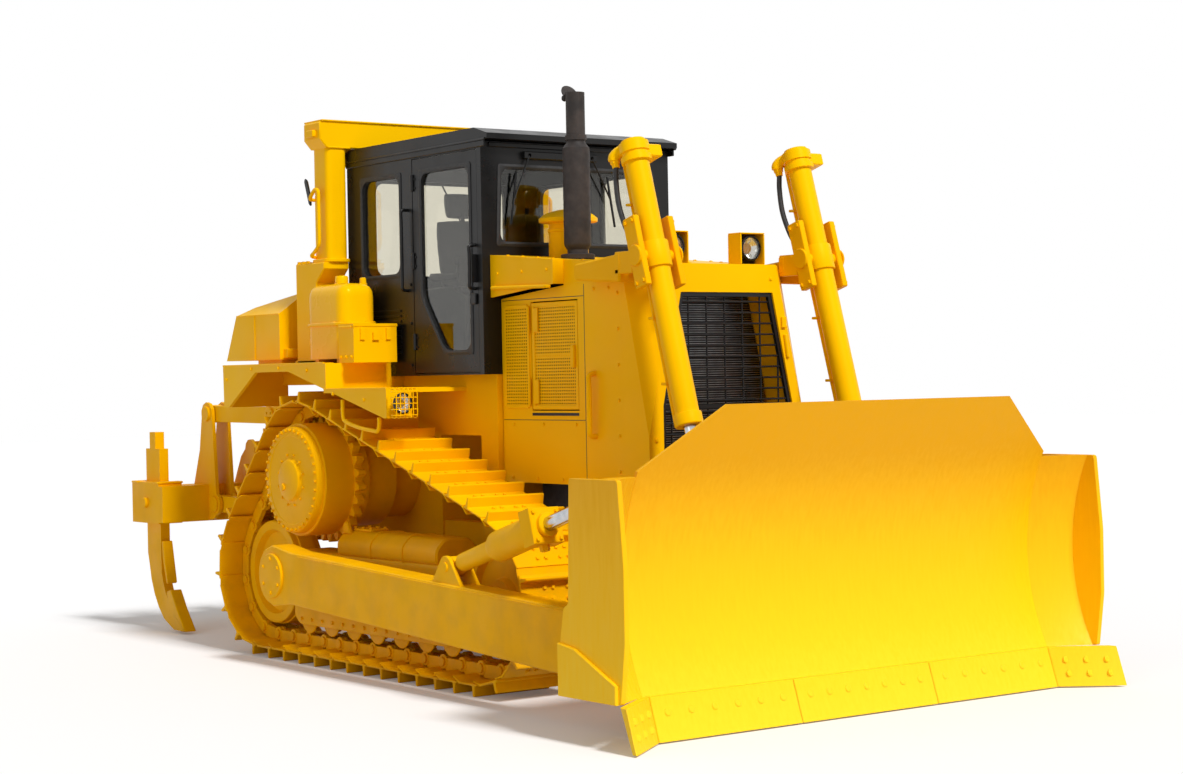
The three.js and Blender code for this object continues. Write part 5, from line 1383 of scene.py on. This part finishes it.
# %% Fender fittings
def fender_fittings(side):
    strips = [plate("z", rounded(oblong(side * 0.72, y, side * 1.22, y + 0.014), 0.006, 4), 1.8698, 1.8745,
                    0.0015) for y in np.linspace(-1.19, -0.48, 12)]
    strips += [plate("z", rounded(oblong(side * 1.15, y, side * 1.25, y + 0.014), 0.006, 4), 2.0448, 2.0495,
                     0.0015) for y in np.linspace(-0.36, 0.94, 20)]
    low = 1.600
    rail = tube([(side * 1.258, -1.12, 1.685), (side * 1.258, -1.12, 1.64), (side * 1.258, -1.10, low),
                 (side * 1.258, -1.04, low), (side * 1.258, -0.86, low + 0.02),
                 (side * 1.258, -0.70, low + 0.055), (side * 1.258, -0.66, low + 0.09),
                 (side * 1.258, -0.655, 1.80)], 0.014, 14)
    nuts = [(side * 1.27, y, z) for y, z in ((-0.95, 1.80), (-0.55, 1.84), (-0.20, 2.00), (0.20, 2.02),
                                             (0.60, 2.02), (0.98, 1.95))]
    edge = [block((side * 1.262, -1.232, 1.866), (side * 1.274, -0.43, 1.878), 0.002),
            block((side * 1.262, -0.43, 2.041), (side * 1.274, 1.028, 2.053), 0.002)]
    return strips + [rail, bolts(nuts, (side, 0, 0), 0.011, 0.010)] + edge


for name, side in SIDES:
    piece(f"fender_steps_and_rail_{name}", fender_fittings(side), yellow, "tractor")

# %% Hydraulic tank
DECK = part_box("hydraulic_tank")[0].z
plan = rounded(oblong(-1.09, -0.38, -0.81, 0.13), 0.10, 12)
shell_steps = [(DECK + 0.030, 0.0), (2.500, 0.0), (2.535, 0.006), (2.560, 0.020), (2.575, 0.040),
               (2.585, 0.070), (2.589, 0.105)]
shell = skin(np.array([np.column_stack([inset(plan, by), np.full(len(plan), z)]) for z, by in shell_steps]))
tank = [shell, plate("z", inset(plan, -0.017), 2.300, 2.322, 0.004)]
tank += [block((-1.06, y - 0.025, DECK), (-0.84, y + 0.025, DECK + 0.04)) for y in (-0.27, 0.03)]
tank.append(turned([(0, 0.056), (0.012, 0.058), (0.016, 0.046), (0.058, 0.045), (0.066, 0.040),
                    (0.070, 0.020)], (-0.94, -0.12, 2.578), UP, 32))
tank.append(turned([(0, 0.030), (0.010, 0.030), (0.012, 0.024), (0.045, 0.022), (0.050, 0.014)],
                   (-0.86, -0.27, 2.578), UP, 24))
rim = inset(plan, -0.006)
tank.append(bolts([(x, y, 2.322) for x, y in rim[::6]], UP, 0.006, 0.005))
piece("hydraulic_tank_shell", tank, tank_enamel, "tractor", ["hydraulic_tank"])
print("tank outline has", len(plan), "points")

# %% Boxes and fuel tank fittings
fittings = []
for node, side in (("tool_box", -1), ("battery_box", 1)):
    low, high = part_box(node)
    outer = (low.x if side < 0 else high.x)
    front = low.y - AXLE.y + 0.016
    back = high.y - AXLE.y
    for x in (outer - side * 0.07, outer - side * 0.27):
        fittings.append(block((x - 0.018, front - 0.012, high.z - 0.11),
                              (x + 0.018, front + 0.001, high.z - 0.03), 0.003))
    fittings.append(bar((outer, front + 0.02, high.z - 0.02), (outer, back - 0.02, high.z - 0.02), 0.007, 12))
    fittings.append(bolts([(outer, y, low.z + 0.04) for y in np.linspace(front + 0.03, back - 0.03, 3)],
                          (side, 0, 0), 0.009, 0.008))
tank_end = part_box("fuel_tank")[1].x
for _, side in SIDES:
    x = side * (tank_end + 0.0005)
    fittings.append(tube([(x, 0.95, 2.090), (x, 0.95, 2.405)], 0.006, 8, 0))
    fittings.append(tube([(x, 0.585, 2.41), (x, 1.225, 2.41)], 0.005, 8, 0))
    fittings.append(block((side * 0.93, 0.52, 2.095), (side * 1.02, 0.585, 2.16), 0.004))
fittings.append(turned([(0, 0.072), (0.014, 0.074), (0.018, 0.060), (0.045, 0.058), (0.050, 0.050),
                        (0.052, 0.02)], (0.60, 0.76, 2.575), UP, 32))
HANDLE = ((1.398, 2.12), (1.43, 2.13), (1.435, 2.20), (1.42, 2.27), (1.36, 2.28))
fittings += [tube([(x, *point) for point in HANDLE], 0.012, 10) for x in (-0.35, 0.35)]
piece("tank_and_box_fittings", fittings, yellow, "tractor")

# %% [markdown]
# ## Rollover frame
# The frame is welded from plate and must hold the machine's weight, so its feet are bolted with large
# heads and its corners have weld beads. A small mirror and a long grab rail hang from each post.

# %% Rollover frame
POST = {"x": (0.785, 0.945), "y": (0.040, 0.250), "foot": 2.750, "top": 3.546}
BEAM = {"y": (0.035, 0.265), "z": (3.540, 3.730), "half": 1.0}


def rollover_post(side):
    """A post bent from plate, so its plan has round corners, on a pedestal with bolted flanges."""
    (x0, x1), (y0, y1) = POST["x"], POST["y"]
    plan = rounded(oblong(side * x0, y0, side * x1, y1), 0.045, 8)
    foot = POST["foot"]
    pedestal = [(0.153, 2.0455), (0.445, 2.0455), (0.445, foot), (y0, foot), (y0, foot - 0.045),
                (0.153, 2.61)]
    shapes = [plate("z", plan, foot - 0.001, POST["top"], 0.003),
              plate("x", pedestal, side * x0, side * 0.985, 0.008),
              block((side * (x0 - 0.005), 0.153, 2.0455), (side * 0.985, 0.470, 2.0735)),
              plate("z", inset(plan, -0.022), foot, foot + 0.024, 0.004)]
    shapes.append(plate("y", [(side * 0.786, 3.36), (side * 0.786, 3.545), (side * 0.700, 3.545)], 0.105,
                        0.130, 0.003))
    shapes.append(bolts([(side * x, y, foot) for x in (0.965, 0.875) for y in (0.30, 0.36, 0.42)],
                        UP, 0.016, 0.018))
    shapes.append(bolts([(side * 0.965, y, 2.0735) for y in (0.20, 0.28, 0.36, 0.44)], UP, 0.014, 0.014))
    out = side * (x1 + 0.040)
    shapes.append(tube([(side * x1, 0.235, 3.19), (out, 0.215, 3.20), (out, 0.15, 3.255), (out, 0.105, 3.24),
                        (out, 0.100, 3.18), (out, 0.100, 3.00), (out, 0.105, 2.88), (out, 0.16, 2.83),
                        (out, 0.21, 2.80), (side * x1, 0.230, 2.79)], 0.013, 14))
    return shapes


def rollover_beam():
    """A box beam: its end view is carried along y, and a thin top plate stands proud of it."""
    half, (z0, z1), (y0, y1) = BEAM["half"], BEAM["z"], BEAM["y"]
    end_view = [(-half, z0 + 0.060), (0.052 - half, z0), (half - 0.052, z0), (half, z0 + 0.060),
                (half, z1 - 0.02), (half - 0.02, z1), (0.02 - half, z1), (-half, z1 - 0.02)]
    shapes = [plate("y", end_view, y0, y1, 0.008), block((0.012 - half, y0 - 0.012, z1 - 0.008),
                                                         (half - 0.012, y1 + 0.012, z1 + 0.004), 0.003)]
    for _, side in SIDES:
        lug = rounded([(0.09, 3.665), (0.09, 3.615), (0.19, 3.615), (0.19, 3.665)], 0.012, 5)
        shapes.append(plate("x", lug, side * (half - 0.002), side * (half + 0.028), 0.005))
        shapes.append(tube([(side * 0.768, y0 - 0.001, z0 + 0.004), (side * 0.86, y0 - 0.001, z0 + 0.004),
                            (side * 0.942, y0 - 0.001, z0 + 0.004)], 0.006, 8, 0))
    return shapes


shapes = rollover_beam()
for _, side in SIDES:
    shapes += rollover_post(side)
made = piece("rollover_frame_shell", shapes, yellow, "tractor", ["rops_frame"])
print(made.name, len(made.data.polygons), "faces")

# %% Post mirrors
for name, side in SIDES:
    x = side * 0.945
    leaf = rounded([(0.262, 3.150), (0.285, 3.165), (0.345, 3.325), (0.335, 3.350), (0.310, 3.335),
                    (0.262, 3.21)], 0.010, 4)
    arm = tube([(side * 0.93, 0.245, 3.185), (side * 0.937, 0.275, 3.200), (side * 0.937, 0.295, 3.22)],
               0.007, 8)
    piece(f"post_mirror_back_{name}", [plate("x", leaf, x - 0.016, x - 0.003, 0.003), arm], black, "tractor")
    piece(f"post_mirror_glass_{name}", [plate("x", inset(leaf, 0.004), x - 0.0032, x + 0.0005, 0.0005)],
          chrome, "tractor")
print("rollover frame and its mirrors")

# %% [markdown]
# ## The ripper
# Three curved shanks break hard ground. Each hangs in a pocket of the beam on one pin and ends in a
# replaceable point. Two cylinders swing the carriage on parallel links, so the beam stays upright.

# %% Ripper cylinders
RIPPER_X, RIPPER_BASE, RIPPER_EYE = 0.30, (1.23, 0.90), (2.35, 1.40)
RIPPER_D, RIPPER_LENGTH, ripper_at = along_line(RIPPER_BASE, RIPPER_EYE)
barrels, shafts, eyes, hoses = [], [], [], []
for _, side in SIDES:
    x = side * RIPPER_X
    start = (x, *ripper_at(0))
    barrels.append(turned([(0.045, 0.038), (0.10, 0.040), (0.112, 0.058), (0.12, 0.060), (0.700, 0.060),
                           (0.704, 0.069), (0.755, 0.070), (0.760, 0.066), (0.760, 0.039), (0.70, 0.039),
                           (0.699, 0.045), (0.135, 0.045)], start, (0, *RIPPER_D), 36))
    barrels.append(hollow_ring((x, *RIPPER_BASE), 0.066, 0.036, 0.046))
    barrels.append(turned([(0, 0.022), (0.03, 0.022), (0.034, 0.018)], (x, *ripper_at(0.16, 0.055)),
                          (0, -RIPPER_D[1], RIPPER_D[0]), 6))
    barrels.append(turned([(0, 0.020), (0.03, 0.020), (0.034, 0.016)], (x, *ripper_at(0.68, 0.055)),
                          (0, -RIPPER_D[1], RIPPER_D[0]), 6))
    barrels.append(tube([(x, *ripper_at(0.68, 0.085)), (x, *ripper_at(0.66, 0.098)),
                         (x, *ripper_at(0.60, 0.100)), (x, *ripper_at(0.26, 0.100)),
                         (x, *ripper_at(0.20, 0.098))], 0.009, 10))
    shafts.append(turned([(0.43, 0.030), (0.433, 0.032), (RIPPER_LENGTH - 0.06, 0.032)], start,
                         (0, *RIPPER_D), 28))
    eyes.append(hollow_ring((x, *RIPPER_EYE), 0.062, 0.034, 0.042))
    hoses.append(tube([(x, *ripper_at(0.20, 0.098)), (x - side * 0.02, *ripper_at(0.13, 0.105)),
                       (x - side * 0.05, *ripper_at(0.06, 0.10)), (x - side * 0.08, *ripper_at(0.0, 0.07))],
                      0.012, 10))
barrels.append(bar((-0.256, *RIPPER_BASE), (0.256, *RIPPER_BASE), 0.050, 32))
eyes.append(bar((-0.26, *RIPPER_EYE), (0.26, *RIPPER_EYE), 0.034, 32))
piece("ripper_cylinder_barrels", barrels, casting, "ripper_barrels", ["ripper_barrels"])
piece("ripper_cylinder_rods", shafts, chrome, "ripper_rods", ["ripper_rods"])
piece("ripper_rod_eyes", eyes, casting, "ripper_rods")
piece("ripper_cylinder_hoses", hoses, rubber, "ripper_barrels")

# %% Ripper pins, points and bolts
LOWER, UPPER, LINK_REACH = (1.29, 0.97), (1.40, 1.675), (1.05, 0.01)
front_pins, carriage = [], []
for _, side in SIDES:
    for y, z in (LOWER, UPPER):
        for out in (-1, 1):
            x = side * 0.62 + out * 0.080
            front_pins.append(turned([(-0.002, 0.062), (0.012, 0.062), (0.016, 0.056), (0.016, 0.020)],
                                     (x, y, z), (out, 0, 0), 28))
            front_pins.append(bolts([(x + out * 0.014, y + 0.036 * math.cos(a), z + 0.036 * math.sin(a))
                                     for a in (0.5, 2.6, 4.7)], (out, 0, 0), 0.009, 0.008))
            carriage.append(turned([(-0.002, 0.060), (0.012, 0.060), (0.016, 0.054), (0.016, 0.020)],
                                   (x, y + LINK_REACH[0], z + LINK_REACH[1]), (out, 0, 0), 28))
    front_pins.append(bolts([(side * x, 0.7600, z) for x in (0.50, 0.42)
                             for z in (0.86, 1.10, 1.35, 1.60, 1.74)], (0, 1, 0), 0.014, 0.012))
SHANKS = (("right", -1.0), ("center", 0.0), ("left", 1.0))
for _, x in SHANKS:
    for out in (-1, 1):
        carriage.append(turned([(-0.002, 0.040), (0.020, 0.040), (0.025, 0.034), (0.025, 0.012)],
                               (x + out * 0.10, 2.72, 1.00), (out, 0, 0), 24))
    for y0, y1 in ((2.49, 2.586), (2.853, 2.972)):
        collar = rounded(oblong(x - 0.112, y0, x + 0.112, y1), 0.02)
        carriage.append(plate("z", collar, 1.150, 1.166, 0.004))
for x in (-0.5, 0.5):
    carriage.append(tube([(x - 0.33, 2.432, 1.128), (x + 0.33, 2.432, 1.128)], 0.005, 8, 0))
piece("ripper_mount_pin_caps", front_pins, casting, "tractor")
piece("ripper_carriage_pins_and_collars", carriage, casting, "ripper_carriage")
for name, x in SHANKS:
    point = plate("x", rounded([(2.185, 0.020), (2.29, 0.020), (2.475, 0.20), (2.505, 0.31), (2.43, 0.33),
                                (2.33, 0.19)], 0.012, 4), x - 0.047, x + 0.047, 0.006)
    guard = plate("x", rounded([(2.49, 0.38), (2.51, 0.37), (2.575, 0.56), (2.585, 0.70), (2.562, 0.70)],
                               0.006, 4), x - 0.041, x + 0.041, 0.004)
    holes = [bar((x - 0.0385, 2.72, z), (x + 0.0385, 2.72, z), 0.024, 20) for z in (0.74, 1.24, 1.36)]
    piece(f"ripper_point_{name}", [point, guard] + holes, casting, "ripper_carriage")
print("ripper with", len(SHANKS), "shanks")

# %% [markdown]
# ## The studio
# A pale floor, a bright surround and one broad key lamp. The key comes from ahead of the machine, so
# its front faces are bright and its long side falls into a darker gold. For camera, glossy and
# transmitted rays the world and floor are near white, while the light that they throw on the machine
# stays at a plain level. The floor keeps the machine's soft shadow.


# %% Studio world and lamps
def seen_by(tree, *kinds):
    """1 for rays of the kinds that are named and 0 for all others: the largest of their Is Ray values."""
    rays = add_node(tree, "ShaderNodeLightPath")
    seen, *others = (rays.outputs[f"Is {kind} Ray"] for kind in kinds)
    for other in others:
        seen = add_node(tree, "ShaderNodeMath", {"operation": "MAXIMUM"}, {0: seen, 1: other}).outputs[0]
    return seen


world = bpy.data.worlds.new("studio_surround")
bpy.context.scene.world = world
world.use_nodes = True
tree = world.node_tree
tree.nodes.clear()
FILL_LEVEL = 0.35
level = add_node(tree, "ShaderNodeMapRange", {"To Min": FILL_LEVEL, "To Max": 1.0},
                 {"Value": seen_by(tree, "Camera", "Transmission", "Glossy")})
surround = add_node(tree, "ShaderNodeBackground", {"Color": linear("#FFFFFF")},
                    {"Strength": level.outputs["Result"]})
add_node(tree, "ShaderNodeOutputWorld", links={"Surface": surround.outputs["Background"]})


def sun(name, towards, strength, spread):
    """A lamp at infinity that shines along a direction, softened by its angular size."""
    lamp = bpy.data.lights.new(name, "SUN")
    lamp.energy = strength
    lamp.angle = math.radians(spread)
    made = bpy.data.objects.new(name, lamp)
    made.rotation_euler = Vector(towards).to_track_quat("-Z", "Y").to_euler()
    bpy.context.scene.collection.objects.link(made)


sun("key", (0.0, 0.70, -0.714), 2.9, 10)
sun("side_fill", (0.9, 0.35, -0.45), 0.2, 30)
print("fill level", FILL_LEVEL)

# %% Studio floor
floor_mesh = bpy.data.meshes.new("studio_floor")
FLOOR_HALF, FLOOR_DROP, FLOOR_GLOW = 60.0, 0.001, 0.085
corners = oblong(-FLOOR_HALF, -FLOOR_HALF, FLOOR_HALF, FLOOR_HALF)
floor_mesh.from_pydata([(x, y, -FLOOR_DROP) for x, y in corners], [], [(0, 1, 2, 3)])
floor_finish, tree, _ = new_material("matt_white_studio_floor")
seen = seen_by(tree, "Camera", "Glossy")
tone = add_node(tree, "ShaderNodeMix", {"data_type": "RGBA", 6: linear("#D8D4CC"), 7: linear("#F3F3F3")},
                {0: seen})
matt = add_node(tree, "ShaderNodeBsdfDiffuse", links={"Color": tone.outputs[2]})
strength = add_node(tree, "ShaderNodeMath", {"operation": "MULTIPLY", 1: FLOOR_GLOW}, {0: seen}).outputs[0]
glow = add_node(tree, "ShaderNodeEmission", {"Color": (1, 1, 1, 1)}, {"Strength": strength})
both_parts = add_node(tree, "ShaderNodeAddShader", links={0: matt.outputs[0], 1: glow.outputs[0]})
add_node(tree, "ShaderNodeOutputMaterial", links={"Surface": both_parts.outputs[0]})
floor_mesh.materials.append(floor_finish)
floor = bpy.data.objects.new("studio_floor", floor_mesh)
bpy.context.scene.collection.objects.link(floor)
bpy.context.scene.view_settings.view_transform = "Standard"
print("floor", 2 * FLOOR_HALF, "m across")
